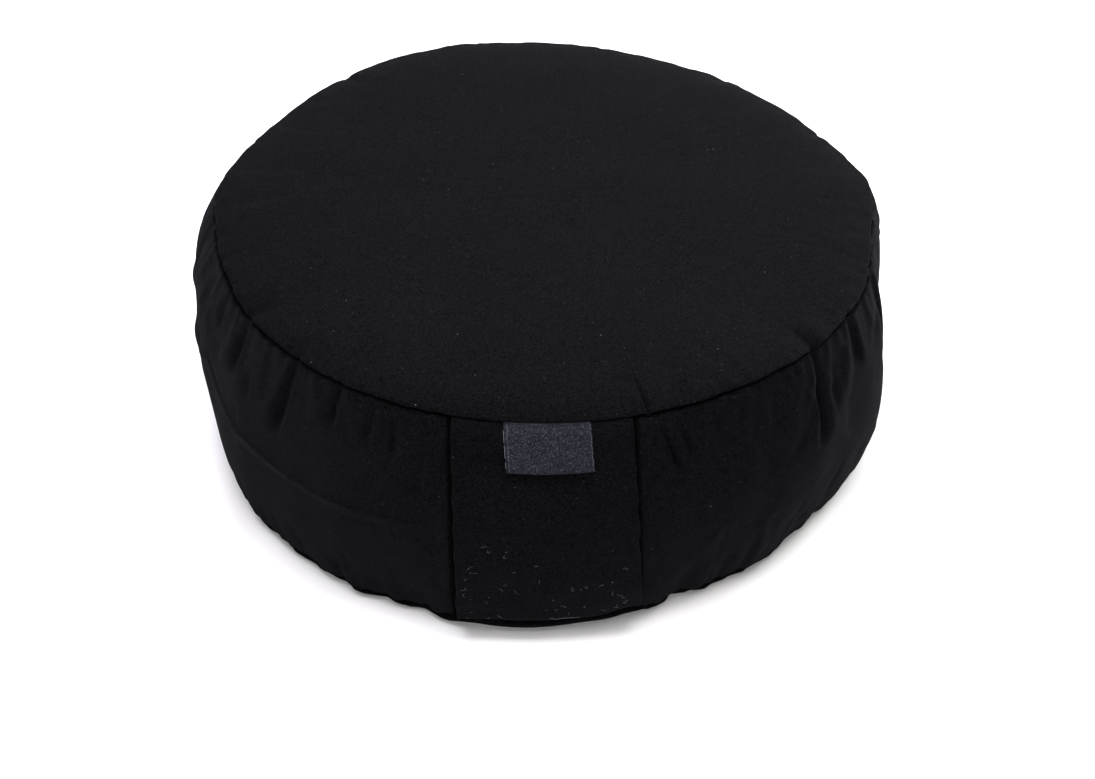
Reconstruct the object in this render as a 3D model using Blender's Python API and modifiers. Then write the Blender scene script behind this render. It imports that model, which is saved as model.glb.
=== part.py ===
"""Zafu meditation cushion: a round, firmly filled cushion with a panel over its front and a small ribbon label.

Metres, +Z up. The origin is the middle of the flat base, and the front panel faces -Y.
An azimuth is in degrees, seen from above, counter-clockwise from +X: 270 is the front.
A level is a share of the side band's height: 0 at the lower seam, 1 at the upper seam.
"""

import math
from collections import namedtuple

import bmesh
import bpy
from mathutils import Vector

COLLECTION_NAME = "zafu_cushion"

# Filled cushion
SEAM_RADIUS = 0.1670
SEAM_HEIGHT = 0.1305
CROWN_RISE = 0.0115
CROWN_SQUARENESS = 2.4
BELLY_BULGE = 0.0106
BELLY_FULLNESS = 0.8
FOOT_RADIUS = 0.1750
FOOT_HEIGHT = 0.0110
FOOT_SQUARENESS = 2.1
BASE_RADIUS = 0.1280
SEAM_DIP = 0.0024
SEAM_LIP = 0.0022
MERGE_DISTANCE = 0.00005

# Mesh rows and steps of the filled cushion
CROWN_ROWS = 8
FOOT_ROWS = 5
BAND_LEVELS = (0.93, 0.86, 0.78, 0.70, 0.62, 0.565, 0.525, 0.49, 0.45, 0.38, 0.29, 0.20, 0.11, 0.05)
TURN_STEPS = 152
FRONT_CROWDING = 0.25

# Shape of a fold, as shares of its own width and depth
RIDGE_AWAY = 1.9
RIDGE_WIDTH = 0.95
RIDGE_HIGH = 0.42
FOLD_REACH = 5.0
CROWN_FOLD_SHARE = 0.5
CROWN_EDGE_POWER = 4
CROWN_LIFT_POWER = 3

# Lip of the closed opening that runs along the left half of the band
LIP_FROM = 96.0
LIP_TO = 253.0
LIP_FADE = 9.0
LIP_LEVEL = 0.49
LIP_HIGH = 0.0016
LIP_GROOVE_LEVEL = 0.525
LIP_GROOVE_DEEP = 0.0012
LIP_HALF_LEVEL = 0.024

# Front panel, a doubled strip of the same cloth
PANEL_AZIMUTH = 270.0
PANEL_FOOT_AZIMUTH = 271.3
PANEL_TOP_WIDTH = 0.0815
PANEL_FOOT_WIDTH = 0.0885
PANEL_THICKNESS = 0.0020
PANEL_TOP_LEVEL = 0.995
PANEL_FOOT_LEVEL = 0.065
PANEL_FOOT_SLANT = 0.008
PANEL_ACROSS = 16
PANEL_ALONG = 24
PANEL_SIDE_LIFT = 0.0010
PANEL_FOOT_LIFT = 0.0022
PANEL_LIFT_POWER = 1.5
PANEL_SHELTER_FADE = 2.5
LEVEL_STEP = 0.01
AZIMUTH_STEP = 1.0
PIECE_GAP = 0.0004

# Ribbon label, folded in half and sewn into the upper seam
LABEL_AZIMUTH = 270.7
LABEL_WIDTH = 0.0390
LABEL_LENGTH = 0.0238
LABEL_TOP_LEVEL = 1.012
LABEL_SLOPE = 0.9
LABEL_THICKNESS = 0.0012
LABEL_ACROSS = 8
LABEL_ALONG = 5
LABEL_END_LIFT = 0.0016
LABEL_TILT = 0.0012

Slump = namedtuple("Slump", "azimuth seam_out seam_up belly_out foot_out")
Fold = namedtuple("Fold", "azimuth lean width depth top bottom")
Crease = namedtuple("Crease", "azimuth reach width depth")
Hollow = namedtuple("Hollow", "azimuth radius size depth")
Cloth = namedtuple("Cloth", "name colour roughness sheen")

# How far the filling pushes or sags from the round, every 30 degrees
SLUMPS = (
    Slump(0, 0.0030, 0.0015, -0.0030, 0.0050),
    Slump(30, -0.0035, -0.0010, 0.0005, -0.0005),
    Slump(60, -0.0045, -0.0010, 0.0, 0.0),
    Slump(90, 0.0, 0.0, 0.0, 0.0),
    Slump(120, 0.0030, 0.0010, 0.0, 0.0),
    Slump(150, -0.0015, 0.0005, 0.0, 0.0),
    Slump(180, 0.0040, 0.0, 0.0010, -0.0015),
    Slump(210, -0.0025, -0.0005, -0.0010, 0.0020),
    Slump(240, 0.0020, -0.0005, 0.0, 0.0010),
    Slump(270, -0.0005, 0.0, 0.0, 0.0010),
    Slump(300, 0.0020, 0.0010, 0.0, -0.0055),
    Slump(330, 0.0005, -0.0005, 0.0030, -0.0020),
)

# Folds of the band, each a trough with a soft ridge on both sides
FOLDS = (
    Fold(213.0, -4.0, 0.0065, 0.0032, 1.02, 0.66),
    Fold(226.5, -7.0, 0.0060, 0.0034, 1.02, 0.58),
    Fold(236.0, -3.0, 0.0055, 0.0022, 1.02, 0.76),
    Fold(247.5, -2.0, 0.0060, 0.0014, 0.98, 0.66),
    Fold(252.0, -4.0, 0.0090, 0.0022, 0.82, 0.44),
    Fold(255.2, 0.0, 0.0060, 0.0022, 1.02, -0.05),
    Fold(286.6, 0.5, 0.0055, 0.0024, 1.02, -0.05),
    Fold(288.5, 9.0, 0.0055, 0.0022, 1.02, 0.66),
    Fold(308.6, -4.0, 0.0060, 0.0014, 1.02, 0.62),
    Fold(318.8, -1.0, 0.0065, 0.0036, 1.02, 0.50),
    Fold(329.0, 5.0, 0.0060, 0.0024, 1.02, 0.62),
    Fold(344.0, -3.0, 0.0070, 0.0018, 1.02, 0.60),
    Fold(2.0, 3.0, 0.0065, 0.0020, 1.02, 0.64),
    Fold(25.0, -4.0, 0.0070, 0.0022, 1.02, 0.58),
    Fold(51.0, 3.0, 0.0070, 0.0018, 1.02, 0.66),
    Fold(78.0, -3.0, 0.0070, 0.0022, 1.02, 0.62),
    Fold(103.0, 4.0, 0.0070, 0.0018, 1.02, 0.66),
    Fold(131.0, -3.0, 0.0070, 0.0022, 1.02, 0.60),
    Fold(158.0, 4.0, 0.0065, 0.0018, 1.02, 0.66),
    Fold(184.0, -3.0, 0.0065, 0.0022, 1.02, 0.64),
    Fold(199.0, -3.0, 0.0060, 0.0018, 1.02, 0.72),
    Fold(222.0, 5.0, 0.0060, 0.0016, 0.30, -0.10),
    Fold(234.5, 4.0, 0.0060, 0.0020, 0.28, -0.10),
    Fold(245.5, 3.0, 0.0060, 0.0022, 0.26, -0.10),
    Fold(294.5, -2.0, 0.0080, 0.0028, 0.34, -0.10),
    Fold(306.0, -2.0, 0.0060, 0.0018, 0.32, -0.10),
    Fold(318.0, -3.0, 0.0070, 0.0018, 0.34, -0.10),
    Fold(338.0, -3.0, 0.0070, 0.0016, 0.30, -0.10),
    Fold(12.0, 2.0, 0.0070, 0.0018, 0.32, -0.10),
    Fold(38.0, -2.0, 0.0070, 0.0016, 0.30, -0.10),
    Fold(66.0, 2.0, 0.0070, 0.0018, 0.30, -0.10),
    Fold(92.0, -2.0, 0.0070, 0.0016, 0.32, -0.10),
    Fold(118.0, 3.0, 0.0070, 0.0018, 0.30, -0.10),
    Fold(145.0, -2.0, 0.0070, 0.0016, 0.30, -0.10),
    Fold(171.0, 2.0, 0.0070, 0.0018, 0.32, -0.10),
    Fold(197.0, -3.0, 0.0070, 0.0016, 0.28, -0.10),
)

# Creases that run from the upper seam into the top
CREASES = (
    Crease(286.6, 0.030, 0.0045, 0.0016),
    Crease(318.5, 0.018, 0.0060, 0.0010),
    Crease(226.0, 0.016, 0.0060, 0.0009),
    Crease(213.0, 0.020, 0.0070, 0.0010),
    Crease(131.0, 0.020, 0.0070, 0.0010),
    Crease(52.0, 0.022, 0.0070, 0.0010),
)

# Shallow hollows pressed into the top
HOLLOWS = (
    Hollow(25.0, 0.112, 0.045, 0.0016),
    Hollow(150.0, 0.105, 0.050, 0.0012),
    Hollow(235.0, 0.090, 0.055, 0.0010),
    Hollow(318.0, 0.100, 0.045, 0.0012),
)

COTTON = Cloth("black_cotton_twill", (0.010, 0.010, 0.013, 1.0), 0.92, 0.25)
RIBBON = Cloth("label_ribbon", (0.016, 0.018, 0.030, 1.0), 0.45, 0.10)


def clamp(value, low=0.0, high=1.0):
    return max(low, min(high, value))


def ease(value):
    """0 to 1 with level ends."""
    share = clamp(value)
    return share * share * (3.0 - 2.0 * share)


def turn_between(azimuth, centre):
    """Signed angle from centre to azimuth, in degrees."""
    return (azimuth - centre + 180.0) % 360.0 - 180.0


def bell(distance, width):
    return math.exp(-(distance / width) ** 2)


def band_radius(level):
    """Radius of the side band before it slumps or folds."""
    chord = FOOT_RADIUS + (SEAM_RADIUS - FOOT_RADIUS) * level
    return chord + BELLY_BULGE * math.sin(math.pi * clamp(level)) ** BELLY_FULLNESS


def band_height(level):
    return FOOT_HEIGHT + (SEAM_HEIGHT - FOOT_HEIGHT) * level


def level_of(height):
    return (height - FOOT_HEIGHT) / (SEAM_HEIGHT - FOOT_HEIGHT)


def section_rows():
    """Radius and height down the outer side, from the middle of the crown to the middle of the base."""
    rows = []
    power = 2.0 / CROWN_SQUARENESS
    for row in range(CROWN_ROWS):
        angle = 0.5 * math.pi * row / CROWN_ROWS
        rise = CROWN_RISE * math.cos(angle) ** power
        rows.append((SEAM_RADIUS * math.sin(angle) ** power, SEAM_HEIGHT + rise))
    rows.append((SEAM_RADIUS, SEAM_HEIGHT + SEAM_LIP))
    rows.append((SEAM_RADIUS - SEAM_DIP, SEAM_HEIGHT))
    upper_lip = level_of(SEAM_HEIGHT - SEAM_LIP)
    rows.append((band_radius(upper_lip), band_height(upper_lip)))
    for level in BAND_LEVELS:
        rows.append((band_radius(level), band_height(level)))
    rows.append((band_radius(0.0) - SEAM_DIP, FOOT_HEIGHT))
    power = 2.0 / FOOT_SQUARENESS
    for row in range(1, FOOT_ROWS + 1):
        angle = 0.5 * math.pi * row / FOOT_ROWS
        reach = (FOOT_RADIUS - BASE_RADIUS) * max(math.cos(angle), 0.0) ** power
        rows.append((BASE_RADIUS + reach, FOOT_HEIGHT * (1.0 - math.sin(angle) ** power)))
    rows[-1] = (BASE_RADIUS, 0.0)
    rows.append((0.0, 0.0))
    return rows


def slump_at(azimuth):
    """The slump row at an azimuth, on a smooth closed curve through the table."""
    count = len(SLUMPS)
    step = 360.0 / count
    place = (azimuth % 360.0) / step
    first = int(place) % count
    t = place - int(place)
    rows = [SLUMPS[(first + offset) % count] for offset in (-1, 0, 1, 2)]
    values = []
    for column in range(1, len(Slump._fields)):
        a, b, c, d = (row[column] for row in rows)
        bend = (2.0 * a - 5.0 * b + 4.0 * c - d) * t * t + (3.0 * b - a - 3.0 * c + d) * t ** 3
        values.append(0.5 * (2.0 * b + (c - a) * t + bend))
    return Slump(azimuth, *values)


def fold_push(azimuth, level):
    """How far the band's folds push inwards, in metres."""
    push = 0.0
    for fold in FOLDS:
        centre = fold.azimuth + fold.lean * (1.0 - level)
        across = math.radians(turn_between(azimuth, centre)) * SEAM_RADIUS
        if abs(across) > FOLD_REACH * fold.width:
            continue
        fade = 0.5 * (min(fold.top, 1.0) - max(fold.bottom, 0.0))
        window = ease((level - fold.bottom) / fade)
        if fold.top < 1.0:
            window *= ease((fold.top - level) / fade)
        ridges = RIDGE_HIGH * bell(abs(across) - RIDGE_AWAY * fold.width, RIDGE_WIDTH * fold.width)
        push += fold.depth * window * (bell(across, fold.width) - ridges)
    return push


def lip_rise(azimuth, level):
    """Height of the opening's lip, with the groove above it."""
    inside = (LIP_TO - LIP_FROM) / 2.0 - abs(turn_between(azimuth, (LIP_FROM + LIP_TO) / 2.0))
    window = ease(inside / LIP_FADE)
    ridge = LIP_HIGH * bell(level - LIP_LEVEL, LIP_HALF_LEVEL)
    groove = LIP_GROOVE_DEEP * bell(level - LIP_GROOVE_LEVEL, LIP_HALF_LEVEL)
    return window * (ridge - groove)


def panel_cover(azimuth):
    """1 under the front panel, where the band stays smooth, and 0 well beside it."""
    half = math.degrees(0.5 * PANEL_TOP_WIDTH / SEAM_RADIUS)
    return ease((half - abs(turn_between(azimuth, PANEL_AZIMUTH))) / PANEL_SHELTER_FADE + 0.5)


def moved_band(azimuth, radius, height, folds=True):
    level = clamp(level_of(height))
    slump = slump_at(azimuth)
    out = slump.foot_out * (1.0 - level) * (1.0 - 2.0 * level)
    out += slump.belly_out * 4.0 * level * (1.0 - level)
    out += slump.seam_out * level * (2.0 * level - 1.0)
    if folds:
        out += (lip_rise(azimuth, level) - fold_push(azimuth, level)) * (1.0 - panel_cover(azimuth))
    return radius + out, height + slump.seam_up * level


def moved_crown(azimuth, radius, height):
    share = radius / SEAM_RADIUS
    slump = slump_at(azimuth)
    push = CROWN_FOLD_SHARE * fold_push(azimuth, 1.0) * (1.0 - panel_cover(azimuth))
    out = (slump.seam_out - push * share) * share ** CROWN_EDGE_POWER
    up = slump.seam_up * share ** CROWN_LIFT_POWER
    for crease in CREASES:
        across = math.radians(turn_between(azimuth, crease.azimuth)) * radius
        window = ease(1.0 - (SEAM_RADIUS - radius) / crease.reach)
        up -= crease.depth * window * bell(across, crease.width)
    x = radius * math.cos(math.radians(azimuth))
    y = radius * math.sin(math.radians(azimuth))
    for hollow in HOLLOWS:
        turn = math.radians(hollow.azimuth)
        away = math.hypot(x - hollow.radius * math.cos(turn), y - hollow.radius * math.sin(turn))
        up -= hollow.depth * bell(away, hollow.size)
    return radius + out, height + up


def moved_foot(azimuth, radius, height):
    share = ease((radius - BASE_RADIUS) / (FOOT_RADIUS - BASE_RADIUS))
    out = (slump_at(azimuth).foot_out - fold_push(azimuth, 0.0) * (1.0 - panel_cover(azimuth))) * share
    return radius + out, height


def moved(azimuth, radius, height):
    """Where a point of the round section goes once the cushion is filled and sewn."""
    if height >= SEAM_HEIGHT and radius <= SEAM_RADIUS:
        return moved_crown(azimuth, radius, height)
    if height > FOOT_HEIGHT - MERGE_DISTANCE:
        return moved_band(azimuth, radius, height)
    return moved_foot(azimuth, radius, height)


def place(azimuth, radius, height):
    turn = math.radians(azimuth)
    return Vector((radius * math.cos(turn), radius * math.sin(turn), height))


def clear_scene():
    for item in list(bpy.data.objects):
        bpy.data.objects.remove(item, do_unlink=True)


def new_collection(name):
    collection = bpy.data.collections.new(name)
    bpy.context.scene.collection.children.link(collection)
    return collection


def add_object(name, mesh, collection, parent, cloth):
    item = bpy.data.objects.new(name, mesh)
    collection.objects.link(item)
    item.parent = parent
    mesh.materials.clear()
    mesh.materials.append(cloth)
    mesh.shade_smooth()
    return item


def cloth_material(cloth):
    material = bpy.data.materials.new(cloth.name)
    material.use_nodes = True
    shader = material.node_tree.nodes["Principled BSDF"]
    shader.inputs["Base Color"].default_value = cloth.colour
    shader.inputs["Roughness"].default_value = cloth.roughness
    shader.inputs["Metallic"].default_value = 0.0
    shader.inputs["Sheen Weight"].default_value = cloth.sheen
    material.diffuse_color = cloth.colour
    return material


def turned_mesh(name, rows, steps, collection):
    """A closed turned body from a section that runs from axis to axis."""
    section = bpy.data.meshes.new(name + "_section")
    shaper = bmesh.new()
    points = [shaper.verts.new((radius, 0.0, height)) for radius, height in rows]
    for upper, lower in zip(points, points[1:]):
        shaper.edges.new((upper, lower))
    shaper.to_mesh(section)
    shaper.free()
    guide = bpy.data.objects.new(name + "_turning", section)
    collection.objects.link(guide)
    screw = guide.modifiers.new("turn", "SCREW")
    screw.axis = "Z"
    screw.angle = 2.0 * math.pi
    screw.steps = steps
    screw.render_steps = steps
    screw.use_merge_vertices = True
    screw.merge_threshold = MERGE_DISTANCE
    screw.use_normal_calculate = True
    turned = bpy.data.meshes.new_from_object(guide.evaluated_get(bpy.context.evaluated_depsgraph_get()))
    turned.name = name
    bpy.data.objects.remove(guide, do_unlink=True)
    return turned


def crowd_to_front(azimuth):
    """Brings the turning steps closer together at the front, where the folds show."""
    turn = math.radians(azimuth)
    return math.degrees(turn - FRONT_CROWDING * math.cos(turn))


def make_body(collection, parent, cloth):
    mesh = turned_mesh("cushion_body", section_rows(), TURN_STEPS, collection)
    shaper = bmesh.new()
    shaper.from_mesh(mesh)
    bmesh.ops.remove_doubles(shaper, verts=shaper.verts, dist=MERGE_DISTANCE)
    for vertex in shaper.verts:
        radius = math.hypot(vertex.co.x, vertex.co.y)
        if radius < MERGE_DISTANCE:
            continue
        azimuth = crowd_to_front(math.degrees(math.atan2(vertex.co.y, vertex.co.x)))
        vertex.co = place(azimuth, *moved(azimuth, radius, vertex.co.z))
    bmesh.ops.triangulate(shaper, faces=shaper.faces, quad_method="SHORT_EDGE")
    bmesh.ops.recalc_face_normals(shaper, faces=shaper.faces)
    shaper.to_mesh(mesh)
    shaper.free()
    return add_object("cushion_body", mesh, collection, parent, cloth)


def band_point(azimuth, level):
    """A point of the band as it is filled, without its folds."""
    return place(azimuth, *moved_band(azimuth, band_radius(level), band_height(level), folds=False))


def band_frame(azimuth, level):
    """A point of the unfolded band and the outward direction there."""
    here = band_point(azimuth, level)
    rise = band_point(azimuth, level + LEVEL_STEP) - band_point(azimuth, level - LEVEL_STEP)
    side = band_point(azimuth + AZIMUTH_STEP, level) - here
    return here, side.cross(rise).normalized()


def panel_lift(across, level):
    """How far the panel's underside stands off the band: more at its long sides and towards the foot."""
    side = abs(across) ** 3
    return PIECE_GAP + side * (PANEL_SIDE_LIFT + PANEL_FOOT_LIFT * clamp(1.0 - level) ** PANEL_LIFT_POWER)


def panel_point(across, level, lift=0.0):
    """A point of the panel's underside: across runs from -1 on the left side to 1 on the right."""
    width = PANEL_FOOT_WIDTH + (PANEL_TOP_WIDTH - PANEL_FOOT_WIDTH) * level
    centre = PANEL_FOOT_AZIMUTH + (PANEL_AZIMUTH - PANEL_FOOT_AZIMUTH) * level
    azimuth = centre + math.degrees(0.5 * across * width / band_radius(level))
    here, outward = band_frame(azimuth, level)
    return here + outward * (panel_lift(across, level) + lift)


def sheet_mesh(name, columns, rows, point_at):
    """A grid bent by point_at(across, along), both from -1 to 1."""
    shaper = bmesh.new()
    bmesh.ops.create_grid(shaper, x_segments=columns, y_segments=rows, size=1.0)
    for vertex in shaper.verts:
        vertex.co = point_at(vertex.co.x, vertex.co.y)
    mesh = bpy.data.meshes.new(name)
    shaper.to_mesh(mesh)
    shaper.free()
    return mesh


def thicken(item, thickness):
    """Gives a bent sheet its thickness, away from the cushion."""
    solidify = item.modifiers.new("cloth_thickness", "SOLIDIFY")
    solidify.thickness = thickness
    solidify.offset = 1.0
    solidify.use_even_offset = True


def whole_panel_point(across, along):
    """The panel between its two seams: along runs from -1 at the foot to 1 at the upper seam."""
    foot = PANEL_FOOT_LEVEL + PANEL_FOOT_SLANT * across
    return panel_point(across, foot + (PANEL_TOP_LEVEL - foot) * 0.5 * (1.0 + along))


def make_panel(collection, parent, cloth):
    mesh = sheet_mesh("front_panel", PANEL_ACROSS, PANEL_ALONG, whole_panel_point)
    item = add_object("front_panel", mesh, collection, parent, cloth)
    thicken(item, PANEL_THICKNESS)
    return item


def label_point(across, along):
    """A point of the label's underside, which leaves the panel towards its folded lower end."""
    down = 0.5 * (1.0 - along)
    length = down * (LABEL_LENGTH + LABEL_TILT * across)
    level = LABEL_TOP_LEVEL - length / (SEAM_HEIGHT - FOOT_HEIGHT) * LABEL_SLOPE
    panel_across = (math.radians(LABEL_AZIMUTH - PANEL_AZIMUTH) * SEAM_RADIUS + 0.5 * across * LABEL_WIDTH)
    panel_across /= 0.5 * PANEL_TOP_WIDTH
    lift = PANEL_THICKNESS + PIECE_GAP + LABEL_END_LIFT * down ** 2
    return panel_point(panel_across, level, lift)


def make_label(collection, parent, cloth):
    mesh = sheet_mesh("label", LABEL_ACROSS, LABEL_ALONG, label_point)
    item = add_object("label", mesh, collection, parent, cloth)
    thicken(item, LABEL_THICKNESS)
    return item


def main():
    clear_scene()
    collection = new_collection(COLLECTION_NAME)
    root = bpy.data.objects.new("zafu_root", None)
    collection.objects.link(root)
    cotton = cloth_material(COTTON)
    ribbon = cloth_material(RIBBON)
    make_body(collection, root, cotton)
    make_panel(collection, root, cotton)
    make_label(collection, root, ribbon)


main()
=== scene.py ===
"""Zafu meditation cushion: a round, firmly filled cushion in black cotton twill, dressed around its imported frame.

Metres, +Z up. An azimuth is in degrees, seen from above, counter-clockwise from +X: 270 is the front.
A level is a share of the side band's height: 0 at the lower seam, 1 at the upper seam.
"""

import math
from collections import namedtuple

import bpy
import numpy as np
from mathutils import Matrix, Vector


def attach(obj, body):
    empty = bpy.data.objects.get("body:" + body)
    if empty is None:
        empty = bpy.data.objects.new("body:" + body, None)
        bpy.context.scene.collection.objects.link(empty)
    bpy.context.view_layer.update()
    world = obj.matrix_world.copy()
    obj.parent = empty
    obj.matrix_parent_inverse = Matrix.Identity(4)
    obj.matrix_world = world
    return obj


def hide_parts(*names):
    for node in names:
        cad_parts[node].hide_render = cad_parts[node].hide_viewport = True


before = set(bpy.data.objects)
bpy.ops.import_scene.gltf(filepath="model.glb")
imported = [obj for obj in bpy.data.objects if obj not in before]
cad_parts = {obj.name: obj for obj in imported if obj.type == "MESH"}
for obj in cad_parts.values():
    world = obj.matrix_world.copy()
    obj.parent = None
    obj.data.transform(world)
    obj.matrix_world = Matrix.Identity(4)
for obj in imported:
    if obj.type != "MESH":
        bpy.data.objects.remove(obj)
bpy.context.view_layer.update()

bl_info = {
    "name": "Zafu meditation cushion",
    "version": (1, 0, 0),
    "blender": (4, 5, 0),
    "location": "View3D > Sidebar > Zafu",
    "description": "Sews the cloth cover, front panel and ribbon label of a round meditation cushion",
    "category": "Add Mesh",
}

FRONT = 270.0
SEAM_AT_BACK = 90.0

Slump = namedtuple("Slump", "azimuth seam_out seam_up belly_out foot_out")
Fold = namedtuple("Fold", "azimuth lean width depth top bottom skew")
Crease = namedtuple("Crease", "azimuth reach width depth")
Hollow = namedtuple("Hollow", "azimuth radius size depth")
Bulge = namedtuple("Bulge", "azimuth level wide high out")
Rows = namedtuple("Rows", "radius height part from_upper from_lower")
Light = namedtuple("Light", "name place aim size power colour")
CROWN, BAND, FOOT = 0, 1, 2

# How far the filling pushes or sags from the round, every 30 degrees
SLUMPS = (
    Slump(0, -0.0016, 0.0015, -0.0030, 0.0050),
    Slump(30, -0.0022, -0.0010, 0.0005, -0.0005),
    Slump(60, -0.0042, -0.0010, 0.0, 0.0),
    Slump(90, 0.0006, 0.0, 0.0, 0.0),
    Slump(120, 0.0034, 0.0010, 0.0, 0.0),
    Slump(150, -0.0012, 0.0005, 0.0, 0.0),
    Slump(180, -0.0030, 0.0, 0.0010, -0.0015),
    Slump(210, -0.0025, 0.0000, -0.0010, 0.0020),
    Slump(240, 0.0020, 0.0026, 0.0, 0.0),
    Slump(270, -0.0005, 0.0, 0.0, 0.0010),
    Slump(300, 0.0020, 0.0010, 0.0, -0.0055),
    Slump(330, 0.0028, -0.0005, 0.0030, -0.0020),
)

# Folds that hang from the upper seam: they widen downwards and end in a dent. Skew steepens the side it points to
FOLDS = (
    Fold(204.0, -4.0, 0.0036, 0.0018, 1.03, 0.80, 1.0),
    Fold(213.0, -6.0, 0.0044, 0.0050, 1.03, 0.72, 1.0),
    Fold(217.5, -4.0, 0.0036, 0.0018, 0.86, 0.68, 1.0),
    Fold(227.6, -10.0, 0.0036, 0.0056, 1.03, 0.62, 1.0),
    Fold(237.2, -7.0, 0.0030, 0.0046, 1.03, 0.80, 1.0),
    Fold(243.8, -6.0, 0.0022, 0.0032, 0.98, 0.79, 1.0),
    Fold(247.0, -1.0, 0.0022, 0.0034, 0.98, 0.78, -1.0),
    Fold(252.5, -4.0, 0.0050, 0.0014, 0.90, 0.62, 1.0),
    Fold(287.6, 13.0, 0.0020, 0.0040, 0.99, 0.72, -1.0),
    Fold(290.8, 10.0, 0.0020, 0.0034, 0.99, 0.78, -1.0),
    Fold(308.6, -4.0, 0.0050, 0.0014, 1.03, 0.74, -1.0),
    Fold(318.0, -1.5, 0.0036, 0.0062, 1.03, 0.56, -1.0),
    Fold(322.3, -2.5, 0.0034, 0.0018, 0.98, 0.68, 1.0),
    Fold(329.5, 2.0, 0.0050, 0.0032, 1.03, 0.76, 1.0),
    Fold(343.0, -3.0, 0.0052, 0.0046, 1.03, 0.58, 1.0),
    Fold(2.0, 3.0, 0.0050, 0.0010, 1.03, 0.72, -1.0),
    Fold(25.0, -4.0, 0.0050, 0.0040, 1.03, 0.66, 1.0),
    Fold(51.0, 3.0, 0.0046, 0.0030, 1.03, 0.74, -1.0),
    Fold(78.0, -3.0, 0.0048, 0.0040, 1.03, 0.68, 1.0),
    Fold(103.0, 4.0, 0.0046, 0.0030, 1.03, 0.74, -1.0),
    Fold(131.0, -3.0, 0.0050, 0.0040, 1.03, 0.68, 1.0),
    Fold(158.0, 4.0, 0.0046, 0.0032, 1.03, 0.74, -1.0),
    Fold(184.0, -3.0, 0.0046, 0.0012, 1.03, 0.72, 1.0),
    Fold(196.0, -3.0, 0.0040, 0.0014, 1.03, 0.78, 1.0),
)

# Folds that rise from the lower seam and fade out upwards
RISING_FOLDS = (
    Fold(213.0, 5.0, 0.0045, 0.0008, 0.24, -0.15, 0.0),
    Fold(223.5, 5.0, 0.0048, 0.0012, 0.24, -0.15, 1.0),
    Fold(231.5, 4.0, 0.0044, 0.0014, 0.22, -0.15, 1.0),
    Fold(240.0, 3.0, 0.0048, 0.0014, 0.24, -0.15, 1.0),
    Fold(247.5, 3.0, 0.0044, 0.0013, 0.20, -0.15, 1.0),
    Fold(295.0, -2.0, 0.0056, 0.0017, 0.28, -0.15, -1.0),
    Fold(303.5, -3.0, 0.0042, 0.0012, 0.30, -0.15, -1.0),
    Fold(309.0, -4.0, 0.0046, 0.0016, 0.34, -0.15, 1.0),
    Fold(320.0, -3.0, 0.0060, 0.0014, 0.32, -0.15, -1.0),
    Fold(338.0, -3.0, 0.0060, 0.0014, 0.30, -0.15, -1.0),
    Fold(12.0, 2.0, 0.0060, 0.0016, 0.32, -0.15, 1.0),
    Fold(38.0, -2.0, 0.0060, 0.0014, 0.30, -0.15, -1.0),
    Fold(66.0, 2.0, 0.0060, 0.0016, 0.30, -0.15, 1.0),
    Fold(92.0, -2.0, 0.0060, 0.0014, 0.32, -0.15, -1.0),
    Fold(118.0, 3.0, 0.0060, 0.0016, 0.30, -0.15, 1.0),
    Fold(145.0, -2.0, 0.0060, 0.0014, 0.30, -0.15, -1.0),
    Fold(171.0, 2.0, 0.0060, 0.0016, 0.32, -0.15, 1.0),
    Fold(197.0, -3.0, 0.0060, 0.0014, 0.28, -0.15, -1.0),
)

# Creases that run from the upper seam into the top
CREASES = (
    Crease(286.4, 0.026, 0.0009, 0.0018),
    Crease(318.5, 0.018, 0.0050, 0.0011),
    Crease(226.0, 0.016, 0.0050, 0.0010),
    Crease(213.0, 0.020, 0.0060, 0.0011),
    Crease(131.0, 0.020, 0.0060, 0.0011),
    Crease(52.0, 0.022, 0.0060, 0.0011),
)

# Shallow hollows pressed into the top
HOLLOWS = (
    Hollow(25.0, 0.112, 0.045, 0.0016),
    Hollow(150.0, 0.105, 0.050, 0.0012),
    Hollow(235.0, 0.090, 0.055, 0.0010),
    Hollow(318.0, 0.100, 0.045, 0.0012),
)

# Local swellings: where, at what level, how wide in degrees, how high as a share of the band, and how far out
BULGES = (
    Bulge(4.0, 0.85, 12.0, 0.16, 0.0036),
    Bulge(8.0, 1.0, 11.0, 0.35, 0.0048),
    Bulge(53.0, 1.0, 4.5, 0.5, 0.0022),
    Bulge(106.0, 1.0, 6.0, 0.5, 0.0014),
    Bulge(122.0, 1.0, 5.0, 0.5, 0.0008),
    Bulge(166.0, 0.88, 14.0, 0.14, 0.0012),
    Bulge(172.0, 1.0, 11.0, 0.35, 0.0036),
    Bulge(184.0, 0.78, 20.0, 0.18, 0.0046),
    Bulge(212.0, 0.5, 7.0, 0.5, 0.0026),
    Bulge(236.0, 0.25, 5.0, 0.4, 0.0014),
    Bulge(249.0, 0.0, 5.0, 0.3, -0.0022),
    Bulge(281.0, 0.0, 3.5, 0.3, 0.0014),
    Bulge(293.0, 0.0, 4.5, 0.3, -0.0022),
    Bulge(309.0, 0.0, 5.0, 0.4, 0.0012),
    Bulge(324.0, 0.2, 4.5, 0.4, -0.0016),
    Bulge(338.0, 0.4, 8.0, 0.5, 0.0046),
    Bulge(352.0, 0.5, 9.0, 0.3, -0.0044),
)

# Level of the opening's lip along the left half of the band
LIP_PATH = (
    (96.0, 0.512),
    (140.0, 0.522),
    (175.0, 0.551),
    (197.0, 0.585),
    (204.0, 0.556),
    (210.0, 0.517),
    (217.0, 0.498),
    (224.0, 0.475),
    (233.0, 0.481),
    (242.0, 0.497),
    (253.0, 0.527),
)


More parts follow.
